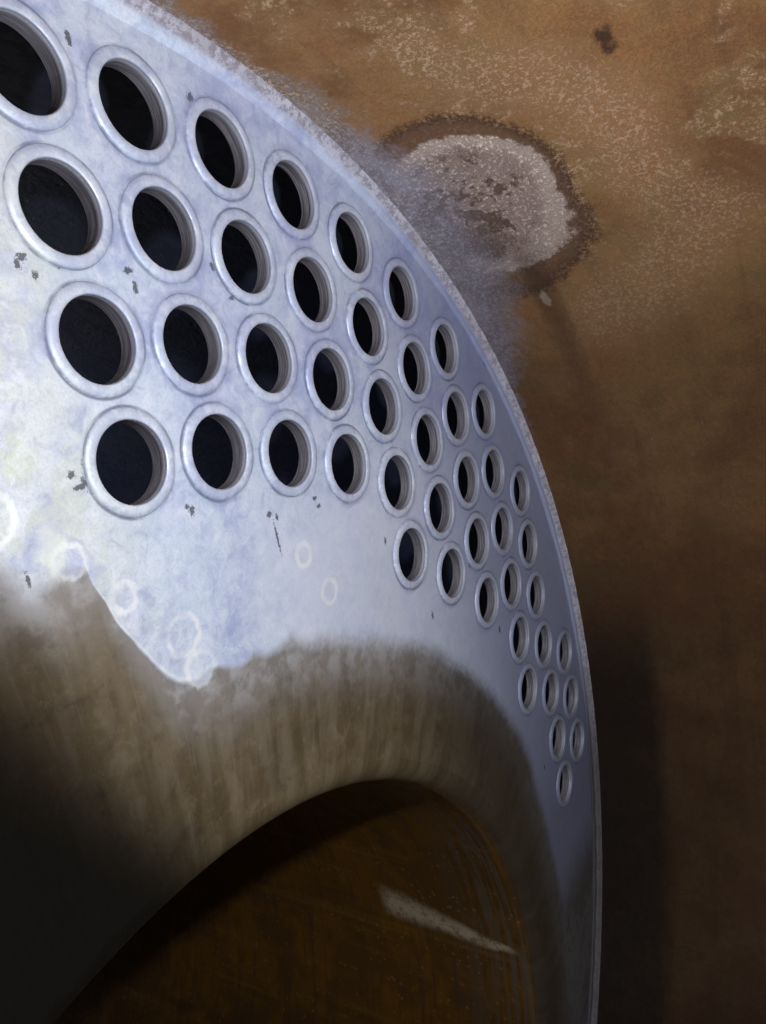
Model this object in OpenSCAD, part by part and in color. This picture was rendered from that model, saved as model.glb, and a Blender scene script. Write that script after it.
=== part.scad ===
// Horizontal shell and tube heat exchanger with a large flue, opened for retubing.
// The barrel lies along Y on two saddles. The open front channel faces -Y, the
// gas inlet faces +Y. X runs across, Z is up and the ground is at Z = 0.

/* [Barrel] */
// Inside radius of the barrel
barrel_ir = 1090; // [1080:5:1200]
// Thickness of the barrel plate
barrel_t = 16; // [10:1:24]
// Height of the barrel's axis above the ground
axis_h = 1500; // [1450:10:1900]
// Length of the open channel in front of the front tubesheet
front_channel_l = 900; // [700:10:1400]
// Clear length between the two tubesheets
bundle_l = 4200; // [3900:50:5400]
// Length of the channel behind the rear tubesheet
rear_channel_l = 600; // [560:10:900]
// How far each channel barrel runs past its tubesheet, to the first girth seam
seam_setback = 200; // [120:10:300]
// Width of a girth weld's cap
seam_w = 22; // [14:1:30]
// Height of a girth weld's cap
seam_h = 3; // [2:0.5:4]

/* [Tubesheets] */
// Thickness of each tubesheet
sheet_t = 16; // [12:1:30]
// Diameter of a tube hole
hole_d = 70.3; // [64:0.1:72]
// Distance between tube holes, across the columns and down them
tube_pitch = 100; // [98:1:106]
// How far inside the barrel's bore the first hole of each column has its centre
tube_limit_gap = 87; // [80:1:110]
// Tube holes in each column, from the middle outwards
column_counts = [4, 4, 4, 4, 5, 5, 5, 6, 7, 3];
// Outside diameter of the raised seat round a tube hole
seat_od = 92; // [84:1:96]
// Height of the raised seat
seat_h = 3.5; // [2:0.5:6]
// Place of the seat's crest, as a part of its width from the hole
seat_crest = 0.42; // [0.3:0.01:0.5]
// Leg of the fillet weld round each tubesheet
sheet_weld_leg = 16; // [8:1:20]

/* [Flue] */
// Inside radius of the flue
flue_ir = 662; // [600:2:680]
// Thickness of the flue plate
flue_t = 16; // [10:1:20]
// Depth of the flue's axis below the barrel's axis
flue_drop = 342; // [320:2:360]
// Outside radius of the rounded edge where the flue meets the front tubesheet
knuckle_r = 30; // [26:1:36]
// Length of the collar's skirt behind the rounded edge
skirt_l = 50; // [30:5:100]

/* [Body flanges and rear cover] */
// Radial width of a body flange
body_flange_w = 100; // [90:2:130]
// Thickness of a body flange
body_flange_t = 60; // [40:2:80]
// Bolts round a body flange
body_bolts = 48; // [40:4:60]
// Diameter of a body bolt hole
body_bolt_d = 27; // [22:1:33]
// Distance of the body bolt circle outside the barrel's bore
body_bolt_out = 62; // [58:1:68]
// Height of the flange's raised gasket face
gasket_h = 3; // [2:0.5:5]
// Width of the flange's raised gasket face
gasket_w = 32; // [24:1:36]
// Thickness of the rear cover
cover_t = 40; // [30:1:60]
// Depth of the rear cover's stiffening ribs
cover_rib_h = 90; // [60:5:110]
// Thickness of the rear cover's stiffening ribs
cover_rib_t = 16; // [10:1:24]
// Distance the flue stands out behind the rear cover
flue_out = 160; // [130:5:260]
// Radial width of the gas inlet flange
inlet_flange_w = 70; // [60:2:90]
// Thickness of the gas inlet flange
inlet_flange_t = 30; // [20:1:40]
// Bolts round the gas inlet flange
inlet_bolts = 32; // [24:4:40]
// Diameter of a gas inlet bolt hole
inlet_bolt_d = 26; // [20:1:30]

/* [Nozzles] */
// Thickness of the manway's cover
manway_cover_t = 36; // [28:1:50]
// Outside diameter of the two large shell nozzles
shell_nozzle_od = 273; // [219:1:324]
// Outside diameter of the gas outlet nozzle
gas_nozzle_od = 406; // [356:1:420]
// Outside diameter of the manway neck
manway_od = 508; // [457:1:558]
// Outside diameter of the relief nozzle
relief_od = 114; // [89:1:168]
// Outside diameter of the vent and drain nozzles
small_nozzle_od = 60; // [48:1:76]
// Height of the large nozzle faces above the barrel
nozzle_out = 200; // [160:5:300]
// Height of the small nozzle faces above the barrel
small_nozzle_out = 140; // [120:5:200]
// Thickness of a large nozzle's wall
nozzle_t = 12; // [8:1:16]
// Thickness of a small nozzle's wall
small_nozzle_t = 6; // [4:1:8]
// Width of the reinforcing pads round the large nozzles
pad_w = 90; // [60:5:120]
// Thickness of the reinforcing pads
pad_t = 14; // [8:1:20]
// Width of the manway cover's lifting eye plate
cover_eye_w = 110; // [90:5:150]
// Height of the eye's centre above the manway cover
cover_eye_h = 45; // [36:1:70]
// Thickness of the eye plate
cover_eye_t = 16; // [10:1:24]
// Diameter of the manway cover's lifting eye
cover_eye_d = 40; // [30:1:50]

/* [Saddles] */
// Distance of each saddle from the nearest tubesheet
saddle_inset = 850; // [700:10:1000]
// Angle of the barrel that a saddle holds
saddle_angle = 130; // [110:5:150]
// Width of a saddle along the barrel
saddle_w = 300; // [240:10:400]
// Thickness of the wrapper plate between saddle and barrel
wrapper_t = 14; // [8:1:20]
// Thickness of a saddle's web and ribs
web_t = 18; // [12:1:30]
// Thickness of a saddle's base plate
base_t = 25; // [16:1:40]
// Length of a saddle's base plate across the barrel
base_l = 1960; // [1800:10:2200]
// Ribs on each side of a saddle's web
rib_count = 5; // [3:2:9]
// Diameter of an anchor bolt hole
anchor_d = 34; // [24:1:42]
// Distance of the anchor bolt holes from the ends of the base plate
anchor_inset = 110; // [80:5:160]
// Distance between the two anchor bolt holes at one end
anchor_pitch = 180; // [140:5:180]
// Height of the web's upright ends above the base plate
web_end_h = 150; // [100:5:200]
// Margin that the web and its ribs keep from the base plate's edges
web_margin = 20; // [10:1:30]
// Distance of the outer ribs from the ends of the base plate
rib_inset = 60; // [50:5:90]

/* [Lifting lugs] */
// Width of a lifting lug
lug_w = 160; // [120:5:200]
// Height of a lifting lug's eye above the barrel
lug_h = 125; // [120:5:160]
// Thickness of a lifting lug
lug_t = 30; // [20:1:40]
// Diameter of a lifting lug's eye
lug_eye_d = 60; // [50:1:80]
// Angle of a lifting lug from the barrel's top
lug_tilt = 20; // [15:1:30]

/* [Hidden] */

$fn = 192;
small_fn = 48;
// Small overlap of a cutting tool past the face it cuts
cut = 1;

ground_steel = "#c3cad6";
scaled_steel = "#6b4e38";
flue_steel = "#7a5433";
rusty_plate = "#765a45";
machined_steel = "#a39c94";

barrel_or = barrel_ir + barrel_t;
flue_or = flue_ir + flue_t;
tube_limit_r = barrel_ir - tube_limit_gap;
hole_r = hole_d / 2;
seat_or = seat_od / 2;
seat_w = seat_or - hole_r;

// Stations along the barrel, measured back from the front tubesheet's face
front_end = -front_channel_l;
rear_sheet_front = sheet_t + bundle_l;
rear_sheet_back = rear_sheet_front + sheet_t;
front_seam = sheet_t + seam_setback;
rear_seam = rear_sheet_front - seam_setback;
course_l = (rear_seam - front_seam) / 3;
rear_joint = rear_sheet_back + rear_channel_l;
cover_back = rear_joint + cover_t;
inlet_face = cover_back + flue_out;
seams = [front_seam, front_seam + course_l, rear_seam - course_l, rear_seam];
flue_start = knuckle_r + skirt_l;
flue_course_l = (rear_sheet_front - flue_start) / 2;

// The origin is on the ground, half way along the whole exchanger
mid_station = (front_end + inlet_face) / 2;

body_flange_or = barrel_ir + body_flange_w;
body_bolt_r = barrel_ir + body_bolt_out;
inlet_flange_or = flue_or + inlet_flange_w;
inlet_bolt_r = flue_or + inlet_flange_w / 2;

front_saddle_y = sheet_t + saddle_inset;
rear_saddle_y = rear_sheet_front - saddle_inset;
wrapper_or = barrel_or + wrapper_t;

// Places along a shell course, as parts of its length from the channel's side
large_nozzle_part = 1 / 3;
lug_part = 0.62;
small_nozzle_part = 0.8;
shell_inlet_y = front_seam + large_nozzle_part * course_l;
shell_outlet_y = rear_seam - large_nozzle_part * course_l;
manway_y = (front_seam + rear_seam) / 2;
relief_y = front_seam + small_nozzle_part * course_l;
vent_y = rear_seam - small_nozzle_part * course_l;
gas_outlet_y = rear_sheet_back + (rear_channel_l - body_flange_t) / 2;
front_lug_y = front_seam + lug_part * course_l;
rear_lug_y = rear_seam - lug_part * course_l;

// A nozzle flange follows its neck's outside diameter
flange_part = 0.26;
flange_extra = 18;
flange_h_part = 0.05;
flange_h_extra = 14;
bolt_circle_part = 0.15;
bolt_circle_extra = 16;
face_part = 0.06;
face_extra = 4;
// Necks above these diameters take more and larger bolts
fair_neck = 80;
large_neck = 200;
huge_neck = 350;
// The gas outlet's neck ends under its flange
gas_outlet_neck_top = barrel_or + nozzle_out - nozzle_flange_h(gas_nozzle_od);

// Free end of a cover rib, inside the bolt circle
cover_rib_end = barrel_ir - 30;

// Centre of every tube hole, as [across, up] from the barrel's axis. A column
// starts on the tube limit circle, and holes that would meet the flue are left out.
function column_top(k) = sqrt(pow(tube_limit_r, 2) - pow(k * tube_pitch, 2));
TUBE_HOLES = [
    for (side = [-1, 1])
        for (k = [1 : len(column_counts)])
            if (k * tube_pitch < tube_limit_r)
                for (j = [0 : column_counts[k - 1] - 1])
                    let (x = side * k * tube_pitch, z = column_top(k) - j * tube_pitch)
                        if (norm([x, z + flue_drop]) > flue_ir + knuckle_r + seat_od)
                            [x, z]
];

// Puts a shape at a station: its own z points to the front, its own y is up
module at_station(y, drop = 0) {
    translate([0, y - mid_station, axis_h - drop])
        rotate([90, 0, 0])
            children();
}

// Plain tube along the barrel, from one station to another
module tube_between(y0, y1, ri, t, drop = 0) {
    at_station(y1, drop)
        difference() {
            cylinder(r = ri + t, h = y1 - y0);
            translate([0, 0, -cut])
                cylinder(r = ri, h = y1 - y0 + 2 * cut);
        }
}

// Cylinders that cut a ring of bolt holes
module bolt_ring(count, circle_r, d, h) {
    for (i = [0 : count - 1])
        rotate([0, 0, (i + 0.5) * 360 / count])
            translate([circle_r, 0, -cut])
                cylinder(d = d, h = h + 2 * cut, $fn = small_fn);
}

// Cylinders that stand up from the barrel's axis at a station, to cut or to keep
module radial_cylinder(y, r, h0, h1) {
    translate([0, y - mid_station, axis_h + h0])
        cylinder(r = r, h = h1 - h0);
}

// Body flange with a raised gasket face towards its own +z
module body_flange_form() {
    difference() {
        union() {
            cylinder(r = body_flange_or, h = body_flange_t - gasket_h);
            cylinder(r = barrel_ir + gasket_w, h = body_flange_t);
        }
        translate([0, 0, -cut])
            cylinder(r = barrel_ir, h = body_flange_t + 2 * cut);
        bolt_ring(body_bolts, body_bolt_r, body_bolt_d, body_flange_t);
    }
}

module tubesheet_form(flue_opening_r) {
    difference() {
        cylinder(r = barrel_ir, h = sheet_t);
        translate([0, -flue_drop, -cut])
            cylinder(r = flue_opening_r, h = sheet_t + 2 * cut);
        for (p = TUBE_HOLES)
            translate([p[0], p[1], -cut])
                cylinder(r = hole_r, h = sheet_t + 2 * cut, $fn = small_fn);
    }
}

// One raised seat, a rounded collar with its crest nearer the hole
module seat_ring() {
    inner = seat_crest * seat_w;
    outer = seat_w - inner;
    dome_r = (pow(outer, 2) + pow(seat_h, 2)) / (2 * seat_h);
    rotate_extrude($fn = small_fn)
        intersection() {
            translate([hole_r, 0])
                square([seat_w, seat_h]);
            translate([hole_r + inner, seat_h - dome_r])
                circle(r = dome_r);
        }
}

module seat_rings() {
    for (p = TUBE_HOLES)
        translate([p[0], p[1], 0])
            seat_ring();
}

// Mitre fillet in the corner between a sheet's face and the barrel
module sheet_weld_form() {
    rotate_extrude()
        polygon([[barrel_ir - sheet_weld_leg, 0], [barrel_ir, 0], [barrel_ir, sheet_weld_leg]]);
}

// Rounded edge bent back from the sheet, with a straight skirt for the flue
module flue_collar_form() {
    rotate_extrude() {
        difference() {
            intersection() {
                translate([flue_ir + knuckle_r, -knuckle_r])
                    circle(r = knuckle_r, $fn = 96);
                translate([flue_ir, -knuckle_r])
                    square(knuckle_r);
            }
            translate([flue_ir + knuckle_r, -knuckle_r])
                circle(r = knuckle_r - flue_t, $fn = 96);
        }
        translate([flue_ir, -knuckle_r - skirt_l])
            square([flue_t, skirt_l]);
    }
}

// Weld cap that stands out of a round wall: a low arc on radius r
module seam_cap(r, w, h) {
    cap_r = (pow(w / 2, 2) + pow(h, 2)) / (2 * h);
    rotate_extrude()
        intersection() {
            translate([r, -w / 2])
                square([h, w]);
            translate([r + h - cap_r, 0])
                circle(r = cap_r, $fn = small_fn);
        }
}

// Neck and flange of a nozzle on the barrel, standing up from the axis
module nozzle_form(y, od, wall, out) {
    flange_h = nozzle_flange_h(od);
    top = barrel_or + out;
    difference() {
        union() {
            radial_cylinder(y, od / 2, barrel_ir / 2, top);
            radial_cylinder(y, nozzle_flange_r(od), top - flange_h, top - gasket_h);
            radial_cylinder(y, nozzle_face_r(od), top - flange_h, top);
        }
        radial_cylinder(y, od / 2 - wall, 0, top + cut);
        at_station(y + od)
            cylinder(r = barrel_or, h = 2 * od);
        translate([0, y - mid_station, axis_h + top - flange_h])
            bolt_ring(nozzle_bolts(od), nozzle_bolt_r(od), nozzle_bolt_d(od), flange_h);
    }
}

// Flange and bolting of a nozzle, from its neck's size
function by_neck(od, small, fair, large, huge) =
    od > huge_neck ? huge : od > large_neck ? large : od > fair_neck ? fair : small;
function nozzle_bolts(od) = by_neck(od, 4, 8, 12, 16);
function nozzle_bolt_d(od) = by_neck(od, 18, 18, 22, 26);
function nozzle_bolt_r(od) = od / 2 + bolt_circle_part * od + bolt_circle_extra;
function nozzle_face_r(od) = od / 2 + face_part * od + face_extra;
function nozzle_flange_r(od) = od / 2 + flange_part * od + flange_extra;
function nozzle_flange_h(od) = flange_h_part * od + flange_h_extra;

// Bore of a nozzle through the barrel plate
module nozzle_bore(y, od, wall) {
    radial_cylinder(y, od / 2 - wall, barrel_ir / 2, barrel_or + cut);
}

module shell_course(y0, y1) {
    difference() {
        tube_between(y0, y1, barrel_ir, barrel_t);
        nozzle_bore(shell_inlet_y, shell_nozzle_od, nozzle_t);
        nozzle_bore(shell_outlet_y, shell_nozzle_od, nozzle_t);
        nozzle_bore(manway_y, manway_od, nozzle_t);
        nozzle_bore(relief_y, relief_od, small_nozzle_t);
        nozzle_bore(vent_y, small_nozzle_od, small_nozzle_t);
        translate([0, 0, 2 * axis_h])
            mirror([0, 0, 1])
                nozzle_bore(manway_y, small_nozzle_od, small_nozzle_t);
    }
}

// Reinforcing pad, a piece of rolled plate round a nozzle's neck
module nozzle_pad(y, od) {
    difference() {
        intersection() {
            at_station(y + od)
                cylinder(r = barrel_or + pad_t, h = 2 * od);
            radial_cylinder(y, od / 2 + pad_w, barrel_ir / 2, barrel_or + 2 * pad_t);
        }
        at_station(y + 2 * od)
            cylinder(r = barrel_or, h = 4 * od);
        radial_cylinder(y, od / 2, 0, barrel_or + 3 * pad_t);
    }
}

// Rolled plate under the barrel, across the saddle's angle
module saddle_wrapper_form(y) {
    reach = 2 * wrapper_or;
    half = saddle_angle / 2;
    at_station(y + saddle_w / 2)
        linear_extrude(saddle_w)
            intersection() {
                difference() {
                    circle(r = wrapper_or);
                    circle(r = barrel_or);
                }
                polygon([[0, 0], [-reach * sin(half), -reach * cos(half)], [0, -2 * reach],
                    [reach * sin(half), -reach * cos(half)]]);
            }
}

// Outline of the saddle's web, from the base plate up to the wrapper
module web_outline() {
    half_w = base_l / 2 - web_margin;
    foot_z = base_t - axis_h;
    shoulder_z = foot_z + web_end_h;
    horn_x = wrapper_or * sin(saddle_angle / 2) - web_margin / 2;
    horn_z = -wrapper_or * cos(saddle_angle / 2);
    difference() {
        polygon([[-half_w, foot_z], [half_w, foot_z], [half_w, shoulder_z],
            [horn_x, horn_z], [-horn_x, horn_z], [-half_w, shoulder_z]]);
        circle(r = wrapper_or);
    }
}

// Web across the barrel with ribs before and behind it
module saddle_web_form(y) {
    rib_step = (base_l - 2 * rib_inset) / (rib_count - 1);
    at_station(y + web_t / 2)
        linear_extrude(web_t)
            web_outline();
    for (i = [0 : rib_count - 1])
        at_station(y + saddle_w / 2 - web_margin / 2)
            linear_extrude(saddle_w - web_margin)
                intersection() {
                    web_outline();
                    translate([-base_l / 2 + rib_inset + i * rib_step - web_t / 2, -2 * axis_h])
                        square([web_t, 4 * axis_h]);
                }
}

module saddle_base_form(y) {
    translate([0, y - mid_station, 0])
        difference() {
            translate([-base_l / 2, -saddle_w / 2, 0])
                cube([base_l, saddle_w, base_t]);
            for (sx = [-1, 1], sy = [-1, 1])
                translate([sx * (base_l / 2 - anchor_inset), sy * anchor_pitch / 2, -cut])
                    cylinder(d = anchor_d, h = base_t + 2 * cut, $fn = small_fn);
        }
}

// Lug plate across the barrel with a round top and an eye
module lug_form(y, side) {
    translate([0, y - mid_station, axis_h])
        rotate([0, side * lug_tilt, 0])
            translate([0, lug_t / 2, 0])
                rotate([90, 0, 0])
                    linear_extrude(lug_t)
                        difference() {
                            union() {
                                translate([-lug_w / 2, barrel_ir])
                                    square([lug_w, barrel_t + lug_h]);
                                translate([0, barrel_or + lug_h])
                                    circle(d = lug_w);
                            }
                            circle(r = barrel_or);
                            translate([0, barrel_or + lug_h])
                                circle(d = lug_eye_d, $fn = small_fn);
                        }
}

module front_flange() {
    color(machined_steel)
        at_station(front_end + body_flange_t)
            body_flange_form();
}

module front_channel() {
    color(scaled_steel)
        tube_between(front_end + body_flange_t, front_seam, barrel_ir, barrel_t);
}

module front_tubesheet() {
    color(ground_steel)
        at_station(sheet_t)
            tubesheet_form(flue_ir + knuckle_r);
}

module front_seat_rings() {
    color(ground_steel)
        at_station(0)
            seat_rings();
}

module front_sheet_weld() {
    color(ground_steel)
        at_station(0)
            sheet_weld_form();
}

module front_flue_collar() {
    color(flue_steel)
        at_station(0, flue_drop)
            flue_collar_form();
}

module shell_course_front() {
    color(rusty_plate)
        shell_course(seams[0], seams[1]);
}

module shell_course_middle() {
    color(rusty_plate)
        shell_course(seams[1], seams[2]);
}

module shell_course_rear() {
    color(rusty_plate)
        shell_course(seams[2], seams[3]);
}

module girth_seams() {
    color(rusty_plate)
        for (y = seams)
            at_station(y)
                seam_cap(barrel_or, seam_w, seam_h);
}

module flue_course_front() {
    color(flue_steel)
        tube_between(flue_start, flue_start + flue_course_l, flue_ir, flue_t, flue_drop);
}

module flue_course_middle() {
    color(flue_steel)
        tube_between(flue_start + flue_course_l, rear_sheet_front, flue_ir, flue_t, flue_drop);
}

module flue_course_rear() {
    color(flue_steel)
        tube_between(rear_sheet_front, inlet_face - inlet_flange_t, flue_ir, flue_t, flue_drop);
}

module rear_tubesheet() {
    color(ground_steel)
        at_station(rear_sheet_back)
            tubesheet_form(flue_or);
}

module rear_seat_rings() {
    color(ground_steel)
        at_station(rear_sheet_back)
            mirror([0, 0, 1])
                seat_rings();
}

module rear_sheet_weld() {
    color(ground_steel)
        at_station(rear_sheet_back)
            mirror([0, 0, 1])
                sheet_weld_form();
}

module rear_channel() {
    color(rusty_plate)
        difference() {
            tube_between(rear_seam, rear_joint - body_flange_t, barrel_ir, barrel_t);
            nozzle_bore(gas_outlet_y, gas_nozzle_od, nozzle_t);
        }
}

module rear_channel_flange() {
    color(machined_steel)
        at_station(rear_joint - body_flange_t)
            mirror([0, 0, 1])
                body_flange_form();
}

module rear_cover() {
    color(rusty_plate)
        at_station(cover_back)
            difference() {
                cylinder(r = body_flange_or, h = cover_t);
                translate([0, -flue_drop, -cut])
                    cylinder(r = flue_or, h = cover_t + 2 * cut);
                bolt_ring(body_bolts, body_bolt_r, body_bolt_d, cover_t);
            }
}

// Flat bars on edge, fanned round the flue over the cover's free part
module rear_cover_ribs() {
    color(rusty_plate)
        at_station(cover_back + cover_rib_h)
            for (a = [0 : 30 : 180])
                intersection() {
                    translate([0, -flue_drop, 0])
                        rotate([0, 0, a])
                            translate([flue_or, -cover_rib_t / 2, 0])
                                cube([2 * barrel_ir, cover_rib_t, cover_rib_h]);
                    difference() {
                        cylinder(r = cover_rib_end, h = cover_rib_h);
                        translate([0, -flue_drop, -cut])
                            cylinder(r = flue_or, h = cover_rib_h + 2 * cut);
                    }
                }
}

module gas_inlet_flange() {
    color(machined_steel)
        at_station(inlet_face, flue_drop)
            difference() {
                cylinder(r = inlet_flange_or, h = inlet_flange_t);
                translate([0, 0, -cut])
                    cylinder(r = flue_ir, h = inlet_flange_t + 2 * cut);
                bolt_ring(inlet_bolts, inlet_bolt_r, inlet_bolt_d, inlet_flange_t);
            }
}

module gas_outlet_nozzle() {
    color(rusty_plate)
        difference() {
            radial_cylinder(gas_outlet_y, gas_nozzle_od / 2, barrel_ir / 2, gas_outlet_neck_top);
            radial_cylinder(gas_outlet_y, gas_nozzle_od / 2 - nozzle_t, 0,
                gas_outlet_neck_top + cut);
            at_station(gas_outlet_y + gas_nozzle_od)
                cylinder(r = barrel_or, h = 2 * gas_nozzle_od);
        }
}

// The outlet's flange is a piece of its own, welded onto the end of the neck
module gas_outlet_flange() {
    top = barrel_or + nozzle_out;
    color(rusty_plate)
        difference() {
            union() {
                radial_cylinder(gas_outlet_y, nozzle_flange_r(gas_nozzle_od),
                    gas_outlet_neck_top, top - gasket_h);
                radial_cylinder(gas_outlet_y, nozzle_face_r(gas_nozzle_od),
                    gas_outlet_neck_top, top);
            }
            radial_cylinder(gas_outlet_y, gas_nozzle_od / 2 - nozzle_t, 0, top + cut);
            translate([0, gas_outlet_y - mid_station, axis_h + gas_outlet_neck_top])
                bolt_ring(nozzle_bolts(gas_nozzle_od), nozzle_bolt_r(gas_nozzle_od),
                    nozzle_bolt_d(gas_nozzle_od), nozzle_flange_h(gas_nozzle_od));
        }
}

module shell_inlet_nozzle() {
    color(rusty_plate)
        nozzle_form(shell_inlet_y, shell_nozzle_od, nozzle_t, nozzle_out);
}

module shell_outlet_nozzle() {
    color(rusty_plate)
        nozzle_form(shell_outlet_y, shell_nozzle_od, nozzle_t, nozzle_out);
}

module nozzle_pads() {
    color(rusty_plate) {
        nozzle_pad(shell_inlet_y, shell_nozzle_od);
        nozzle_pad(shell_outlet_y, shell_nozzle_od);
        nozzle_pad(manway_y, manway_od);
    }
}

module manway_neck() {
    color(rusty_plate)
        nozzle_form(manway_y, manway_od, nozzle_t, nozzle_out);
}

// Flat cover with an eye plate welded across its middle
module manway_cover() {
    joint = barrel_or + nozzle_out;
    top = joint + manway_cover_t;
    color(rusty_plate) {
        difference() {
            radial_cylinder(manway_y, nozzle_flange_r(manway_od), joint, top);
            translate([0, manway_y - mid_station, axis_h + joint])
                bolt_ring(nozzle_bolts(manway_od), nozzle_bolt_r(manway_od),
                    nozzle_bolt_d(manway_od), manway_cover_t);
        }
        translate([0, manway_y - mid_station + cover_eye_t / 2, axis_h + top])
            rotate([90, 0, 0])
                linear_extrude(cover_eye_t)
                    difference() {
                        union() {
                            translate([-cover_eye_w / 2, 0])
                                square([cover_eye_w, cover_eye_h]);
                            translate([0, cover_eye_h])
                                circle(d = cover_eye_w);
                        }
                        translate([-cover_eye_w, -cover_eye_w])
                            square([2 * cover_eye_w, cover_eye_w]);
                        translate([0, cover_eye_h])
                            circle(d = cover_eye_d, $fn = small_fn);
                    }
    }
}

module relief_nozzle() {
    color(rusty_plate)
        nozzle_form(relief_y, relief_od, small_nozzle_t, small_nozzle_out);
}

module vent_nozzle() {
    color(rusty_plate)
        nozzle_form(vent_y, small_nozzle_od, small_nozzle_t, small_nozzle_out);
}

module drain_nozzle() {
    color(rusty_plate)
        translate([0, 0, 2 * axis_h])
            mirror([0, 0, 1])
                nozzle_form(manway_y, small_nozzle_od, small_nozzle_t, small_nozzle_out);
}

module front_saddle_wrapper() {
    color(rusty_plate)
        saddle_wrapper_form(front_saddle_y);
}

module front_saddle_web() {
    color(rusty_plate)
        saddle_web_form(front_saddle_y);
}

module front_saddle_base() {
    color(rusty_plate)
        saddle_base_form(front_saddle_y);
}

module rear_saddle_wrapper() {
    color(rusty_plate)
        saddle_wrapper_form(rear_saddle_y);
}

module rear_saddle_web() {
    color(rusty_plate)
        saddle_web_form(rear_saddle_y);
}

module rear_saddle_base() {
    color(rusty_plate)
        saddle_base_form(rear_saddle_y);
}

module lifting_lugs() {
    color(rusty_plate)
        for (y = [front_lug_y, rear_lug_y], side = [-1, 1])
            lug_form(y, side);
}

front_flange();
front_channel();
front_tubesheet();
front_seat_rings();
front_sheet_weld();
front_flue_collar();
shell_course_front();
shell_course_middle();
shell_course_rear();
girth_seams();
flue_course_front();
flue_course_middle();
flue_course_rear();
rear_tubesheet();
rear_seat_rings();
rear_sheet_weld();
rear_channel();
rear_channel_flange();
rear_cover();
rear_cover_ribs();
gas_inlet_flange();
gas_outlet_nozzle();
gas_outlet_flange();
shell_inlet_nozzle();
shell_outlet_nozzle();
nozzle_pads();
manway_neck();
manway_cover();
relief_nozzle();
vent_nozzle();
drain_nozzle();
front_saddle_wrapper();
front_saddle_web();
front_saddle_base();
rear_saddle_wrapper();
rear_saddle_web();
rear_saddle_base();
lifting_lugs();
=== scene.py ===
"""Finishes, small pieces, lights and camera of an opened shell and tube heat exchanger."""
import math

import bmesh
import bpy
from mathutils import Matrix, Vector, noise

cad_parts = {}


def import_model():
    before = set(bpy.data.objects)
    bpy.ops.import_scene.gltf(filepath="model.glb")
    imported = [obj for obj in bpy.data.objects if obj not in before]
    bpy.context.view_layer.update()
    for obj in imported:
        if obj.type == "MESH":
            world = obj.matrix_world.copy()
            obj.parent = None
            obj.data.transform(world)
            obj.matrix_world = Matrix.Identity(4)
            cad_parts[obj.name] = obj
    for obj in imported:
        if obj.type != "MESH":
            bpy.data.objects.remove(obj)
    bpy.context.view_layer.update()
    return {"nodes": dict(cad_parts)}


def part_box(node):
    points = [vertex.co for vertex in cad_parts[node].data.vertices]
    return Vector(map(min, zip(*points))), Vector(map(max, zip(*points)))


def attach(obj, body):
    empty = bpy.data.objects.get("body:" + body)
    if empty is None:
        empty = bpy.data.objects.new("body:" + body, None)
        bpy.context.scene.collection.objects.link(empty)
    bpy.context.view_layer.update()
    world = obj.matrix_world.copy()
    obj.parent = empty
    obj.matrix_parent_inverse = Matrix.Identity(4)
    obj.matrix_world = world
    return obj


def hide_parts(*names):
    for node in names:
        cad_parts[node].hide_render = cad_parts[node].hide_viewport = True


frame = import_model()

# Places and radii that follow from the frame, in metres
sheet_low, sheet_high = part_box("front_tubesheet")
flue_low, flue_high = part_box("flue_course_front")
FACE_Y = sheet_low.y
SHEET_T = sheet_high.y - sheet_low.y
AXIS_Z = (sheet_low.z + sheet_high.z) / 2
BARREL_IR = sheet_high.x
BARREL_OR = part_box("front_channel")[1].x
PLATE_T = BARREL_OR - BARREL_IR
FLUE_OR = flue_high.x
FLUE_IR = FLUE_OR - PLATE_T
FLUE_Z = (flue_low.z + flue_high.z) / 2
FLUE_DROP = AXIS_Z - FLUE_Z

# Backdrop of the studio
BACKDROP = "#f4f5f6"
BACKDROP_STRENGTH = 0.88

# Tube holes: columns stand a pitch apart and start on the limit circle
PITCH = 0.100
LIMIT_R = 1.003
COLUMN_COUNTS = [4, 4, 4, 4, 5, 5, 5, 6, 7, 3]
FLUE_CLEARANCE = 0.122


def srgb(text):
    """A written colour such as #c9cec9 as Blender's linear red, green, blue and alpha."""
    parts = [int(text[i:i + 2], 16) / 255 for i in (1, 3, 5)]
    return [p / 12.92 if p <= 0.04045 else ((p + 0.055) / 1.055) ** 2.4 for p in parts] + [1.0]


def tube_holes():
    """Centre of every tube hole, as (across, up) from the barrel's axis."""
    places = []
    for side in (-1, 1):
        for column, count in enumerate(COLUMN_COUNTS, start=1):
            x = side * column * PITCH
            for row in range(count):
                z = math.sqrt(LIMIT_R ** 2 - x ** 2) - row * PITCH
                if math.hypot(x, z + FLUE_DROP) > FLUE_IR + FLUE_CLEARANCE:
                    places.append((x, z))
    return places


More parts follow.
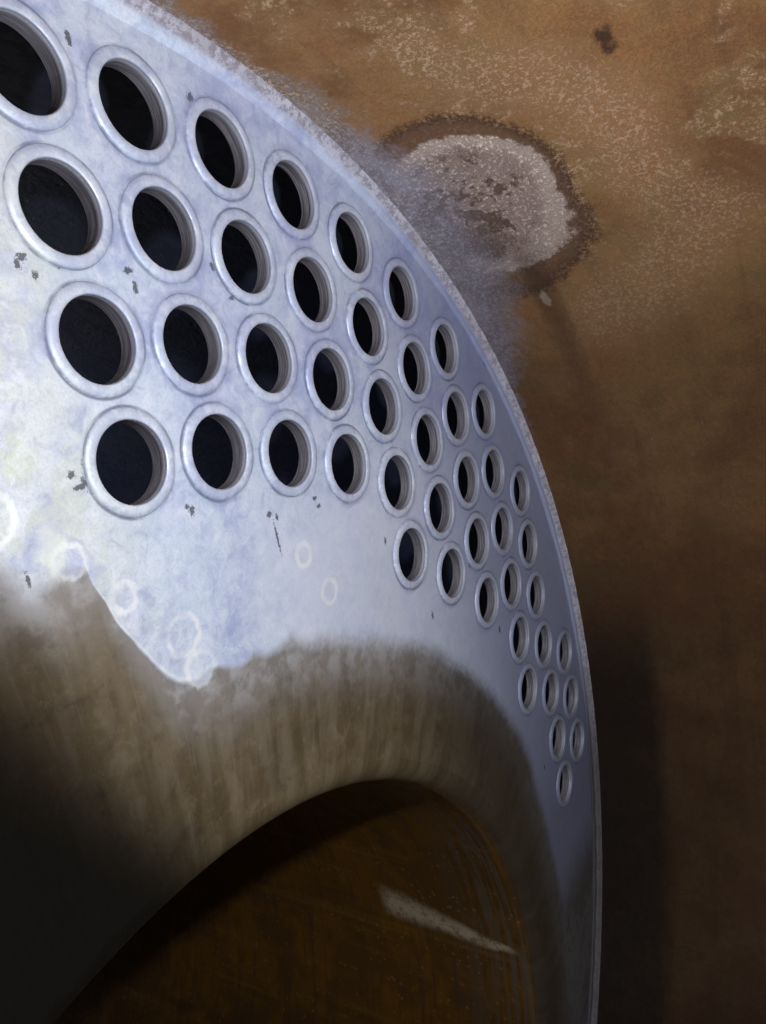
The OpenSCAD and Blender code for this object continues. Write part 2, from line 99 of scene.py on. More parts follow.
class Wiring:
    """Adds the nodes of one material or node group and joins them."""

    def __init__(self, tree):
        self.tree = tree

    def join(self, socket, value):
        if isinstance(value, bpy.types.NodeSocket):
            self.tree.links.new(value, socket)
        else:
            socket.default_value = srgb(value) if isinstance(value, str) else value

    def add(self, kind, wires=None, **settings):
        node = self.tree.nodes.new(kind)
        for name, value in settings.items():
            setattr(node, name, value)
        for socket, value in (wires or {}).items():
            self.join(node.inputs[socket], value)
        return node

    def math(self, operation, a, b=0.0, c=0.0):
        return self.add("ShaderNodeMath", {0: a, 1: b, 2: c}, operation=operation).outputs[0]

    def plus(self, a, b):
        return self.math("ADD", a, b)

    def less(self, a, b):
        return self.math("SUBTRACT", a, b)

    def times(self, a, b):
        return self.math("MULTIPLY", a, b)

    def over(self, a, b):
        return self.math("DIVIDE", a, b)

    def most(self, a, b):
        return self.math("MAXIMUM", a, b)

    def least(self, a, b):
        return self.math("MINIMUM", a, b)

    def size(self, a):
        return self.math("ABSOLUTE", a)

    def fade(self, value, start, end, low=0.0, high=1.0):
        """Smooth step from low at start to high at end."""
        wires = {"Value": value, "From Min": start, "From Max": end, "To Min": low, "To Max": high}
        return self.add("ShaderNodeMapRange", wires, interpolation_type="SMOOTHSTEP").outputs[0]

    def band(self, value, middle, width, soft):
        """One within a band of values, and nothing outside it."""
        return self.fade(self.size(self.less(value, middle)), width + soft, width)

    def split(self, vector):
        return self.add("ShaderNodeSeparateXYZ", {0: vector}).outputs[:3]

    def combine(self, x, y, z):
        return self.add("ShaderNodeCombineXYZ", {0: x, 1: y, 2: z}).outputs[0]

    def length(self, a, b):
        wires = {0: self.combine(a, 0.0, b)}
        return self.add("ShaderNodeVectorMath", wires, operation="LENGTH").outputs["Value"]

    def stretch(self, vector, scale, turn=(0.0, 0.0, 0.0)):
        wires = {"Vector": vector, "Scale": scale, "Rotation": [math.radians(a) for a in turn]}
        return self.add("ShaderNodeMapping", wires).outputs[0]

    def centred(self, x, y, z):
        """Object coordinates, measured from a place in the frame."""
        place = self.add("ShaderNodeTexCoord").outputs["Object"]
        return self.add("ShaderNodeMapping", {"Vector": place, "Location": (-x, -y, -z)}).outputs[0]

    def noise(self, vector, scale, detail=3.0, rough=0.5, bend=0.0):
        wires = {"Vector": vector, "Scale": scale, "Detail": detail, "Roughness": rough,
                 "Distortion": bend}
        return self.add("ShaderNodeTexNoise", wires).outputs[0]

    def cells(self, vector, scale):
        return self.add("ShaderNodeTexVoronoi", {"Vector": vector, "Scale": scale})

    def mix(self, share, a, b, blend="MIX"):
        node = self.add("ShaderNodeMix", {0: share, 6: a, 7: b}, data_type="RGBA", blend_type=blend)
        return node.outputs[2]

    def mix_value(self, share, a, b):
        return self.add("ShaderNodeMix", {0: share, 2: a, 3: b}, data_type="FLOAT").outputs[0]

    def bump(self, height, distance):
        wires = {"Height": height, "Distance": distance, "Strength": 1.0}
        return self.add("ShaderNodeBump", wires).outputs[0]

    def seen(self):
        """One for rays from the eye, gloss or glass, and nothing for the rest."""
        path = self.add("ShaderNodeLightPath").outputs
        clear = self.most(path["Is Glossy Ray"], path["Is Transmission Ray"])
        return self.most(path["Is Camera Ray"], clear)

    def use(self, group, **wires):
        """Places a shared effect with its own values."""
        return self.add("ShaderNodeGroup", wires, node_tree=group).outputs


def effect(name, takes, gives):
    """A new node group with named inputs and outputs, and the wiring to fill it."""
    group = bpy.data.node_groups.new(name, "ShaderNodeTree")
    for label, kind, value in takes:
        socket = group.interface.new_socket(label, in_out="INPUT", socket_type="NodeSocket" + kind)
        if value is not None:
            socket.default_value = value
    for label, kind in gives:
        group.interface.new_socket(label, in_out="OUTPUT", socket_type="NodeSocket" + kind)
    w = Wiring(group)
    given = w.add("NodeGroupInput").outputs
    result = w.add("NodeGroupOutput").inputs
    return group, w, given, result


def patches_effect():
    """Cloudy patches in a broad and a fine size."""
    takes = [("Vector", "Vector", None), ("Scale", "Float", 5.0), ("Fine", "Float", 0.35)]
    group, w, given, result = effect("cloudy patches", takes, [("Mask", "Float"), ("Raw", "Float")])
    broad = w.noise(given["Vector"], given["Scale"], 3.0, 0.55, 0.5)
    fine = w.noise(given["Vector"], w.times(given["Scale"], 5.1), 4.0, 0.65)
    raw = w.plus(broad, w.times(w.less(fine, 0.5), given["Fine"]))
    w.join(result["Mask"], w.fade(raw, 0.38, 0.62))
    w.join(result["Raw"], raw)
    return group


def flecks_effect():
    """Scattered flecks with ragged rims, where a share of the cells holds one."""
    takes = [("Vector", "Vector", None), ("Scale", "Float", 100.0), ("Share", "Float", 0.3)]
    group, w, given, result = effect("scattered flecks", takes, [("Mask", "Float")])
    ragged = w.noise(given["Vector"], w.times(given["Scale"], 1.7), 2.0, 0.6)
    cell = w.cells(given["Vector"], given["Scale"])
    pick = w.split(cell.outputs["Color"])[0]
    spot = w.fade(w.plus(cell.outputs["Distance"], w.times(w.less(ragged, 0.5), 0.9)), 0.42, 0.26)
    w.join(result["Mask"], w.times(spot, w.math("LESS_THAN", pick, given["Share"])))
    return group


def grain_effect():
    """Fine uneven grain for the relief of rust and scale."""
    takes = [("Vector", "Vector", None), ("Scale", "Float", 300.0)]
    group, w, given, result = effect("fine grain", takes, [("Height", "Float")])
    coarse = w.noise(given["Vector"], given["Scale"], 2.0, 0.6)
    pits = w.cells(given["Vector"], w.times(given["Scale"], 0.45)).outputs["Distance"]
    w.join(result["Height"], w.plus(w.times(coarse, 0.7), w.times(pits, 0.3)))
    return group


def rays_effect():
    """Brushed lines that run away from an axis, which stands at X and Z zero."""
    takes = [("X", "Float", 0.0), ("Z", "Float", 0.0)]
    group, w, given, result = effect("brushed rays", takes, [("Fine", "Float"), ("Broad", "Float")])
    radius = w.length(given["X"], given["Z"])
    across = w.over(given["X"], radius)
    up = w.over(given["Z"], radius)
    w.join(result["Fine"], w.noise(w.combine(across, w.times(radius, 0.06), up), 260.0, 3.0, 0.6))
    w.join(result["Broad"], w.noise(w.combine(across, w.times(radius, 0.25), up), 24.0, 3.0, 0.6))
    return group


def strokes_effect():
    """Grinding strokes that cross in two directions, each in its own patches."""
    takes = [("Vector", "Vector", None)]
    group, w, given, result = effect("grinding strokes", takes, [("Height", "Float")])
    total = 0.0
    share = w.fade(w.noise(given["Vector"], 9.0, 2.0, 0.5, 1.0), 0.42, 0.6)
    for turn, part in ((18.0, share), (131.0, w.less(1.0, share))):
        line = w.stretch(given["Vector"], (900.0, 900.0, 22.0), (0.0, turn, 0.0))
        total = w.plus(total, w.times(w.noise(line, 1.0, 1.0), part))
    w.join(result["Height"], total)
    return group


def speckle_effect():
    """Fine natural speckle, where the share of it that shows can be set."""
    takes = [("Vector", "Vector", None), ("Scale", "Float", 300.0), ("Limit", "Float", 0.56)]
    group, w, given, result = effect("fine speckle", takes, [("Mask", "Float")])
    value = w.noise(given["Vector"], w.times(given["Scale"], 0.42), 4.0, 0.9)
    w.join(result["Mask"], w.fade(value, given["Limit"], w.plus(given["Limit"], 0.05)))
    return group


def hole_effect():
    """Distance from the nearest tube hole's axis, and where the holes really are."""
    takes = [("X", "Float", 0.0), ("Z", "Float", 0.0)]
    gives = [("Distance", "Float"), ("Real", "Float")]
    group, w, given, result = effect("nearest tube hole", takes, gives)
    side = w.size(given["X"])
    column = w.least(w.most(w.math("ROUND", w.over(side, PITCH)), 1.0), 10.0)
    across = w.times(column, PITCH)
    top = w.math("SQRT", w.less(LIMIT_R ** 2, w.times(across, across)))
    row = w.most(w.math("ROUND", w.over(w.less(top, given["Z"]), PITCH)), 0.0)
    over = w.less(given["Z"], w.less(top, w.times(row, PITCH)))
    w.join(result["Distance"], w.length(w.less(side, across), over))
    count = 4.0
    for after, step in ((4.5, 1.0), (7.5, 1.0), (8.5, 1.0), (9.5, -4.0)):
        count = w.plus(count, w.times(w.math("GREATER_THAN", column, after), step))
    w.join(result["Real"], w.math("GREATER_THAN", count, w.plus(row, 0.5)))
    return group


def bare_effect():
    """Tone of bare ground steel: creamy in the middle, lilac to the flank, with smudges, and darker
    out on the flank and low on it as painted shade of the lamp's falloff.
    """
    takes = [("Vector", "Vector", None)]
    gives = [("Color", "Color"), ("Smudge", "Float")]
    group, w, given, result = effect("bare ground steel", takes, gives)
    x, _, z = w.split(given["Vector"])
    side = w.size(x)
    wide = w.use(PATCHES, Vector=given["Vector"], Scale=7.0, Fine=0.5)["Mask"]
    close = w.use(PATCHES, Vector=given["Vector"], Scale=24.0, Fine=0.6)["Mask"]
    smear = w.noise(given["Vector"], 48.0, 3.0, 0.7, 0.8)
    tone = w.mix(w.fade(side, 0.0, 0.14), "#c9cfc8", "#bfcde3")
    tone = w.mix(w.times(wide, 0.62), tone, "#929ccb")
    tone = w.mix(w.times(close, 0.35), tone, "#dde4f5")
    tone = w.mix(w.fade(smear, 0.50, 0.72, 0.0, 0.45), tone, "#8a94bd")
    tone = w.mix(w.fade(smear, 0.48, 0.32, 0.0, 0.35), tone, "#e6eaf5")
    tone = w.mix(w.fade(side, 0.16, 0.34, 0.0, 0.14), tone, "#a9b2ea")
    rubbed = w.use(SPECKLE, Vector=given["Vector"], Scale=900.0, Limit=0.52)["Mask"]
    tone = w.mix(w.times(rubbed, 0.22), tone, "#848db2")
    hazy = w.times(w.fade(z, 0.64, 0.54), w.fade(side, 0.15, 0.27))
    tone = w.mix(w.times(hazy, 0.5), tone, "#dbe2f2")
    # Painted shade: darker out on the flank and lower on it, where the lamp's light falls off
    tone = w.mix(w.fade(side, 0.42, 0.80, 0.0, 0.72), tone, "#7b82aa")
    low = w.times(w.fade(z, 0.20, -0.25), w.fade(side, 0.6, 0.8))
    tone = w.mix(w.times(low, 0.55), tone, "#666880")
    w.join(result["Color"], tone)
    w.join(result["Smudge"], wide)
    return group


def finish_named(name):
    """An empty material with its wiring and its surface shader."""
    finish = bpy.data.materials.new(name)
    finish.use_nodes = True
    finish.node_tree.nodes.clear()
    w = Wiring(finish.node_tree)
    output = w.add("ShaderNodeOutputMaterial")
    shader = w.add("ShaderNodeBsdfPrincipled")
    w.join(output.inputs["Surface"], shader.outputs[0])
    return finish, w, shader.inputs


# Near-black of the painted shadow at the lower left
PAINTED_SHADOW = "#070605"


def painted_shadow_share(w, x, z, drop=0.0):
    """Painted shadow left of the middle and low down, where the lamp's light is cut off: drop is how
    far z's zero lies under the barrel's axis.
    """
    shade = w.plus(w.less(0.0, x), w.times(w.less(0.45 + drop, z), 0.6))
    return w.times(w.fade(shade, -0.02, 0.07, 0.0, 0.93), w.fade(x, -0.45, -0.25))


# Marks on the cleaned steel: across and up from the barrel's axis, half width and half height
SCUFFS = [
    (0.055, 0.863, 0.005, 0.004), (0.084, 0.859, 0.003, 0.006), (0.150, 1.025, 0.004, 0.007),
    (0.273, 1.000, 0.005, 0.005), (0.149, 0.850, 0.006, 0.003), (0.152, 0.836, 0.003, 0.006),
    (0.267, 0.820, 0.004, 0.003), (0.057, 0.707, 0.003, 0.008), (0.048, 0.692, 0.008, 0.003),
    (0.060, 0.686, 0.007, 0.003), (0.150, 0.641, 0.004, 0.006), (0.252, 0.580, 0.002, 0.020),
    (-0.015, 0.640, 0.002, 0.007), (0.330, 0.590, 0.004, 0.003), (0.446, 0.508, 0.003, 0.006),
    (0.343, 1.030, 0.005, 0.007), (0.727, 0.255, 0.004, 0.008), (0.485, 0.843, 0.004, 0.008),
    (0.526, 0.370, 0.003, 0.007), (0.660, 0.394, 0.003, 0.006), (0.819, -0.067, 0.003, 0.006),
    (0.043, 0.703, 0.004, 0.004), (0.052, 0.694, 0.004, 0.005), (0.248, 0.606, 0.005, 0.004),
    (0.258, 0.600, 0.003, 0.004), (0.325, 0.600, 0.004, 0.003), (0.145, 0.646, 0.003, 0.003),
    (0.050, 0.858, 0.003, 0.005), (0.062, 0.850, 0.003, 0.004), (0.250, 0.850, 0.003, 0.005),
]

# Rings that the disc left: across, up and radius
SWIRLS = [
    (0.057, 0.596, 0.0115), (0.105, 0.540, 0.0180), (0.113, 0.503, 0.0165), (-0.030, 0.690, 0.020),
    (0.286, 0.548, 0.012), (0.316, 0.494, 0.013), (0.020, 0.640, 0.014),
]


def front_sheet_finish():
    """Front and rear sheet: ground bare round the holes, brown and brushed round the flue."""
    finish, w, surface = finish_named("front tubesheet")
    place = w.centred(0.0, FACE_Y, AXIS_Z)
    x, depth, z = w.split(place)
    side = w.size(x)
    below = w.plus(z, FLUE_DROP)
    flue_r = w.length(x, below)
    rays = w.use(RAYS, X=x, Z=below)
    strokes = w.use(STROKES, Vector=place)["Height"]
    bare = w.use(BARE, Vector=place)

    # Where the grinding stopped: lobes in the middle, a soft edge to the flank
    lobes = w.cells(place, 26.0).outputs["Distance"]
    wander = w.less(w.noise(place, 11.0, 3.0), 0.5)
    climb = w.least(w.most(w.over(w.less(0.110, x), 0.078), 0.0), 1.0)
    peak = w.times(w.times(w.math("POWER", climb, 2.5), 0.133), w.fade(x, -0.34, -0.14))
    edge = w.plus(w.fade(x, -0.010, -0.045, 0.836, 0.868), peak)
    edge = w.plus(edge, w.times(lobes, w.fade(side, 0.16, 0.40, 0.014, 0.003)))
    edge = w.plus(edge, w.times(wander, 0.016))
    edge = w.plus(edge, w.times(w.fade(z, 0.10, -0.22), -0.035))
    fuzz = w.less(w.noise(place, 90.0, 4.0, 0.7), 0.5)
    ragged = w.plus(w.fade(side, 0.12, 0.34, 0.004, 0.019), w.fade(x, 0.02, -0.02, 0.0, 0.02))
    inside = w.plus(w.less(flue_r, edge), w.times(fuzz, ragged))
    soft = w.plus(w.fade(side, 0.12, 0.34, 0.004, 0.017), w.fade(x, 0.030, -0.02, 0.0, 0.016))
    ground = w.fade(w.over(inside, soft), -1.0, 1.0)
    outline = w.times(w.band(inside, 0.003, 0.0, 0.006), w.fade(x, 0.15, 0.10))
    outline = w.times(outline, w.fade(x, 0.02, 0.05))

    # Rings that the disc left
    rings = 0.0
    for across, up, radius in SWIRLS:
        reach = w.length(w.less(x, across), w.less(z, up))
        reach = w.plus(reach, w.times(fuzz, 0.012))
        rings = w.most(rings, w.band(reach, radius, 0.0004, 0.0046))
        ground = w.most(ground, w.fade(reach, radius + 0.002, radius - 0.003, 0.0, 0.7))
    lobe = w.length(w.over(w.less(x, 0.010), 0.013), w.over(w.less(z, 0.655), 0.022))
    lobe = w.fade(w.plus(lobe, w.times(fuzz, 0.9)), 1.25, 0.55)
    ground = w.most(ground, w.times(lobe, 0.9))
    ground = w.times(ground, w.fade(z, -0.42, -0.26))
    broken = w.fade(w.noise(place, 34.0, 2.0), 0.38, 0.56, 0.45, 1.0)
    bright = w.mix(w.times(w.times(rings, broken), 0.55), bare["Color"], "#f3f5f6")
    bright = w.mix(w.times(outline, 0.35), bright, "#eef2f5")
    bright = w.mix(w.times(lobe, 0.4), bright, "#e6eadf")

    # Brown steel left round the flue
    patches = w.use(PATCHES, Vector=place, Scale=9.0, Fine=0.9)
    brown = w.mix(w.fade(rays["Broad"], 0.36, 0.62), "#4e4331", "#665c4d")
    brown = w.mix(w.times(patches["Mask"], 0.40), brown, "#62533a")
    cloudy = w.noise(place, 34.0, 4.0, 0.75, 0.4)
    brown = w.mix(w.fade(cloudy, 0.50, 0.70, 0.0, 0.45), brown, "#362c22")
    brown = w.mix(w.fade(cloudy, 0.48, 0.32, 0.0, 0.35), brown, "#7f7562")
    brown = w.mix(w.fade(rays["Fine"], 0.54, 0.80, 0.0, 0.32), brown, "#7c7365")
    haze = w.fade(w.less(edge, flue_r), 0.110, 0.0)
    haze = w.times(w.times(haze, haze), w.plus(0.40, w.times(patches["Mask"], 0.45)))
    brown = w.mix(haze, brown, "#a0a1a7")
    grit = w.use(SPECKLE, Vector=place, Scale=520.0, Limit=0.60)["Mask"]
    brown = w.mix(w.times(grit, 0.45), brown, "#8a7d68")
    # Painted shade: darker toward the flank, where the lamp's light falls off
    brown = w.mix(w.fade(side, 0.36, 0.62, 0.0, 0.7), brown, "#211b17")
    # Painted shadow at the lower left, where the lamp's light is cut off
    brown = w.mix(painted_shadow_share(w, x, z), brown, PAINTED_SHADOW)

    tone = w.mix(ground, brown, bright)
    marks = 0.0
    blot = w.times(w.less(w.noise(place, 330.0, 3.0, 0.8), 0.5), 3.0)
    for across, up, half_w, half_h in SCUFFS:
        reach = w.length(w.over(w.less(x, across), half_w), w.over(w.less(z, up), half_h))
        marks = w.most(marks, w.fade(w.plus(reach, blot), 1.0, 0.6))
    tone = w.mix(w.times(marks, 0.8), tone, "#2f3038")

    hole = w.use(HOLE, X=x, Z=z)
    # Painted shadow in a thin groove just outside each seat, broken up in patches
    groove_shadow = w.times(w.band(hole["Distance"], 0.0463, 0.0004, 0.0022), hole["Real"])
    partial = w.fade(w.noise(place, 16.0), 0.42, 0.58, 0.15, 0.75)
    tone = w.mix(w.times(groove_shadow, partial), tone, "#4d5164")
    # Painted shade round the foot of each seat, stronger where the steel is smudged
    foot_shade = w.times(w.fade(hole["Distance"], 0.056, 0.046), w.times(hole["Real"], ground))
    tone = w.mix(w.times(foot_shade, w.fade(bare["Smudge"], 0.2, 0.9, 0.05, 0.42)), tone, "#7a82a8")

    # Bores and back
    lathe = w.noise(w.stretch(place, (26.0, 1100.0, 26.0)), 1.0, 3.0, 0.6)
    bore = w.mix(w.fade(lathe, 0.35, 0.7), "#56525a", "#94939f")
    bore = w.mix(w.fade(depth, 0.0012, 0.0042, 0.75, 0.0), bore, "#b9bdcc")
    in_plate = w.fade(depth, 0.0003, 0.0007)
    tone = w.mix(in_plate, tone, bore)
    tone = w.mix(w.fade(depth, 0.0153, 0.0158), tone, "#2c2320")
    w.join(surface["Base Color"], tone)
    rough = w.mix_value(ground, w.plus(0.55, w.times(rays["Fine"], 0.2)),
                        w.plus(0.40, w.times(bare["Smudge"], 0.16)))
    w.join(surface["Roughness"], w.mix_value(in_plate, rough, 0.42))
    w.join(surface["Metallic"], w.most(w.times(ground, 0.18), w.times(in_plate, 0.35)))
    surface["Specular IOR Level"].default_value = 0.18
    brushed = w.times(rays["Fine"], w.less(1.0, ground))
    relief = w.plus(w.plus(w.times(brushed, 0.8), w.times(w.times(strokes, ground), 0.3)),
                    w.times(w.times(lathe, in_plate), 0.5))
    w.join(surface["Normal"], w.bump(relief, 0.00035))
    return finish


def seat_finish():
    """Turned seats: satin, a little darker at the inner lip, with a painted highlight along the crest
    and painted shade at the foot, and fine lathe lines.
    """
    finish, w, surface = finish_named("turned seats")
    place = w.centred(0.0, FACE_Y, AXIS_Z)
    x, _, z = w.split(place)
    bare = w.use(BARE, Vector=place)
    away = w.use(HOLE, X=x, Z=z)["Distance"]
    tone = w.mix(w.fade(away, 0.0352, 0.0364), "#8b8d99", bare["Color"])
    # Painted highlight along the seat's crest
    tone = w.mix(w.times(w.band(away, 0.0392, 0.0010, 0.004), 0.2), tone, "#e3e9f2")
    wear = w.use(PATCHES, Vector=place, Scale=30.0, Fine=0.8)["Mask"]
    # Painted shade at the seat's foot, partly in worn patches
    foot_shade = w.times(w.fade(away, 0.0442, 0.0458), w.plus(0.15, w.times(wear, 0.5)))
    tone = w.mix(foot_shade, tone, "#5f6375")
    tone = w.mix(w.times(wear, 0.42), tone, "#8d97ba")
    w.join(surface["Base Color"], tone)
    w.join(surface["Roughness"], w.plus(0.42, w.times(wear, 0.12)))
    surface["Metallic"].default_value = 0.18
    rubbed = w.noise(place, 420.0, 2.0, 0.6)
    w.join(surface["Normal"], w.bump(rubbed, 0.00015))
    return finish


def rim_finish():
    """Weld round the sheet, ground on the sheet's side and dusty on the barrel's."""
    finish, w, surface = finish_named("sheet rim weld")
    place = w.centred(0.0, FACE_Y, AXIS_Z)
    x, _, z = w.split(place)
    bore_r = w.length(x, z)
    bare = w.use(BARE, Vector=place)
    dusty = w.use(SPECKLE, Vector=place, Scale=240.0, Limit=0.46)["Mask"]
    patch = w.use(PATCHES, Vector=place, Scale=18.0, Fine=0.9)["Mask"]
    dust = w.mix(dusty, "#908d9d", "#b9b9cb")
    dust = w.mix(w.times(patch, 0.35), dust, "#7a7473")
    tone = w.mix(w.fade(bore_r, BARREL_IR - 0.011, BARREL_IR - 0.006), bare["Color"], dust)
    tone = w.mix(w.times(w.fade(z, 0.15, -0.25), 0.85), tone, "#2c2522")
    w.join(surface["Base Color"], tone)
    surface["Roughness"].default_value = 0.5
    surface["Metallic"].default_value = 0.12
    grain = w.use(GRAIN, Vector=place, Scale=260.0)["Height"]
    w.join(surface["Normal"], w.bump(grain, 0.0009))
    return finish


def channel_finish():
    """Channel barrel: oxide inside, with a pale crust and dust by the sheet, and weathered outside."""
    finish, w, surface = finish_named("channel barrel")
    place = w.centred(0.0, FACE_Y, AXIS_Z)
    x, depth, z = w.split(place)
    radius = w.length(x, z)
    ahead = w.times(depth, -1.0)
    angle = w.times(w.math("ARCTAN2", z, x), 180.0 / math.pi)
    along = w.times(angle, BARREL_IR * math.pi / 180.0)
    fuzz = w.less(w.noise(place, 42.0, 4.0, 0.75), 0.5)
    broad = w.use(PATCHES, Vector=place, Scale=3.2, Fine=0.5)["Mask"]
    close = w.use(PATCHES, Vector=place, Scale=15.0, Fine=0.9)
    stain = w.noise(place, 8.0, 4.0, 0.7, 0.6)
    oxide = w.mix(broad, "#94704a", "#7a5639")
    oxide = w.mix(w.fade(stain, 0.50, 0.66, 0.0, 0.55), oxide, "#72643c")
    oxide = w.mix(w.fade(stain, 0.46, 0.32, 0.0, 0.45), oxide, "#935f3c")
    oxide = w.mix(w.times(close["Mask"], 0.22), oxide, "#6a4d39")
    hoop = w.combine(w.over(x, radius), w.times(depth, 14.0), w.over(z, radius))
    runs = w.noise(hoop, 2.6, 3.0, 0.65)
    oxide = w.mix(w.fade(runs, 0.52, 0.74, 0.0, 0.3), oxide, "#4f3828")

    # Pale grains in clouds, higher up the wall
    grains = w.use(SPECKLE, Vector=place, Scale=480.0, Limit=0.49)["Mask"]
    field = w.plus(stain, w.times(fuzz, 0.35))
    cloud = w.times(w.fade(field, 0.49, 0.62), w.fade(angle, 38.0, 58.0))
    cloud = w.times(cloud, w.fade(close["Raw"], 0.40, 0.58, 0.35, 1.0))
    reach = w.length(w.less(along, 1.060), w.less(ahead, 0.115))
    reach = w.over(reach, w.fade(along, 1.04, 0.92, 0.104, 0.150))
    reach = w.plus(reach, w.times(fuzz, 0.30))
    halo = w.times(w.band(reach, 1.85, 0.10, 0.55), w.fade(ahead, 0.12, 0.2))
    cloud = w.most(cloud, w.times(halo, 0.85))
    oxide = w.mix(w.times(cloud, 0.30), oxide, "#a17a58")
    oxide = w.mix(w.times(w.times(cloud, grains), 0.62), oxide, "#c8a98c")
    spot = w.length(w.over(w.less(along, 1.214), 0.019), w.over(w.less(ahead, 0.323), 0.010))
    oxide = w.mix(w.fade(w.plus(spot, w.times(fuzz, 3.2)), 1.2, 0.5, 0.0, 0.85), oxide, "#33231f")

    # Dark arc round the crust
    beyond = w.less(w.plus(reach, w.times(grains, 0.08)), w.fade(ahead, 0.12, 0.24, 1.40, 1.20))
    arc = w.times(w.fade(beyond, 0.05, -0.07), w.fade(ahead, 0.020, 0.060))
    oxide = w.mix(w.times(arc, 0.6), oxide, "#4a322b")
    border = w.times(w.times(w.band(beyond, -0.08, 0.02, 0.12), arc), 0.55)
    oxide = w.mix(border, oxide, "#38231f")
    oxide = w.mix(w.times(w.times(arc, grains), 0.35), oxide, "#917766")

    # Grey dust along the sheet, lilac below the crust
    spread = w.fade(angle, 28.0, 50.0, 0.015, 0.118)
    spread = w.less(spread, w.fade(angle, 57.0, 64.0, 0.0, 0.055))
    spread = w.less(spread, w.fade(angle, 65.0, 72.0, 0.0, 0.030))
    spread = w.plus(spread, w.times(fuzz, 0.10))
    dust = w.fade(ahead, w.times(spread, 1.15), w.times(spread, 0.4))
    dust = w.times(dust, w.fade(angle, 16.0, 40.0))
    dust_tone = w.mix(w.fade(angle, 67.0, 60.0), "#8a7c70", "#8b8999")
    dust_tone = w.mix(w.times(close["Mask"], 0.55), dust_tone, "#625a58")
    dust_tone = w.mix(w.times(grains, 0.5), dust_tone, "#b9b5c3")
    flakes = w.times(w.fade(close["Raw"], 0.48, 0.56), w.band(angle, 69.5, 3.5, 2.0))
    dust_tone = w.mix(w.times(w.times(flakes, grains), 0.8), dust_tone, "#c9b296")

    # Crust beside the sheet: bright flaky outer edge, brown and dusty toward the sheet
    crust = w.mix(grains, "#937d76", "#c9b6ad")
    lip = w.times(w.band(reach, 0.90, 0.04, 0.14), w.plus(0.35, w.times(grains, 0.65)))
    crust = w.mix(lip, crust, "#dccabf")
    spots = w.fade(w.plus(close["Raw"], w.times(fuzz, 0.5)), 0.48, 0.60)
    hollow = w.times(w.fade(reach, 0.88, 0.56), spots)
    worn = w.times(w.fade(w.plus(along, ahead), 1.13, 1.06), w.fade(reach, 0.99, 0.80))
    hollow = w.most(hollow, w.times(worn, w.fade(close["Raw"], 0.34, 0.50, 0.45, 1.0)))
    crust = w.mix(w.times(hollow, 0.85), crust, "#5d473a")
    in_crust = w.fade(reach, 1.03, 0.97)
    oxide = w.mix(in_crust, oxide, crust)
    near = w.times(dust, w.fade(reach, 0.60, 1.0, 0.80, 0.9))
    oxide = w.mix(near, oxide, dust_tone)
    in_crust = w.times(in_crust, w.less(1.0, near))
    chip = w.length(w.over(w.less(along, 0.842), 0.016), w.over(w.less(ahead, 0.133), 0.007))
    oxide = w.mix(w.fade(w.plus(chip, w.times(fuzz, 2.0)), 1.2, 0.8), oxide, "#cfbba3")
    run = w.band(w.plus(ahead, w.times(fuzz, 0.03)), 0.135, 0.006, 0.022)
    run = w.times(run, w.times(w.fade(along, 0.95, 0.90), w.fade(along, 0.45, 0.85)))
    oxide = w.mix(w.times(run, 0.5), oxide, "#2f221d")

    # Lower down it darkens, with a black band by the sheet
    oxide = w.mix(w.fade(angle, 60.0, 34.0, 0.0, 0.48), oxide, "#2b1c12")
    oxide = w.mix(w.fade(angle, 30.0, -20.0, 0.0, 0.70), oxide, "#1c120a")
    # A black band low on the wall, right by the sheet
    black_band = w.times(w.fade(angle, 12.0, -2.0), w.fade(w.plus(ahead, w.times(fuzz, 0.04)), 0.17, 0.13))
    oxide = w.mix(w.times(black_band, 0.75), oxide, "#0c0a0a")

    # Painted shade: the barrel beyond the sheet, inside the shell, is a near-black blue
    oxide = w.mix(w.fade(depth, SHEET_T - 0.002, SHEET_T + 0.002), oxide, "#1a1e30")

    outer = w.use(WEATHER, Vector=place)
    outside = w.fade(radius, BARREL_IR + 0.006, BARREL_IR + 0.008)
    w.join(surface["Base Color"], w.mix(outside, oxide, outer["Color"]))
    w.join(surface["Roughness"], w.plus(0.66, w.times(close["Mask"], 0.2)))
    surface["Specular IOR Level"].default_value = 0.2
    raised = w.plus(w.times(grains, w.plus(w.times(in_crust, 1.2), 0.3)), w.times(fuzz, 0.5))
    w.join(surface["Normal"], w.bump(raised, 0.0011))
    return finish


def weather_effect():
    """Brown weathered oxide with runs down the plate, for all the outer steel."""
    takes = [("Vector", "Vector", None)]
    gives = [("Color", "Color"), ("Rough", "Float"), ("Height", "Float")]
    group, w, given, result = effect("weathered plate", takes, gives)
    place = given["Vector"]
    broad = w.use(PATCHES, Vector=place, Scale=2.3, Fine=0.6)["Mask"]
    close = w.use(PATCHES, Vector=place, Scale=12.0, Fine=0.9)
    runs = w.noise(w.stretch(place, (16.0, 16.0, 0.9)), 1.0, 4.0, 0.65)
    tone = w.mix(broad, "#7d5d45", "#5f4636")
    tone = w.mix(w.times(close["Mask"], 0.4), tone, "#8b6a4a")
    tone = w.mix(w.fade(runs, 0.50, 0.70, 0.0, 0.6), tone, "#48352b")
    tone = w.mix(w.fade(runs, 0.46, 0.30, 0.0, 0.35), tone, "#96704c")
    flecks = w.use(FLECKS, Vector=place, Scale=60.0, Share=0.12)["Mask"]
    tone = w.mix(w.times(flecks, 0.6), tone, "#3a2c26")
    w.join(result["Color"], tone)
    w.join(result["Rough"], w.plus(0.6, w.times(close["Mask"], 0.22)))
    grain = w.use(GRAIN, Vector=place, Scale=150.0)["Height"]
    w.join(result["Height"], w.less(w.plus(grain, w.times(close["Raw"], 0.8)), w.times(flecks, 0.5)))
    return group


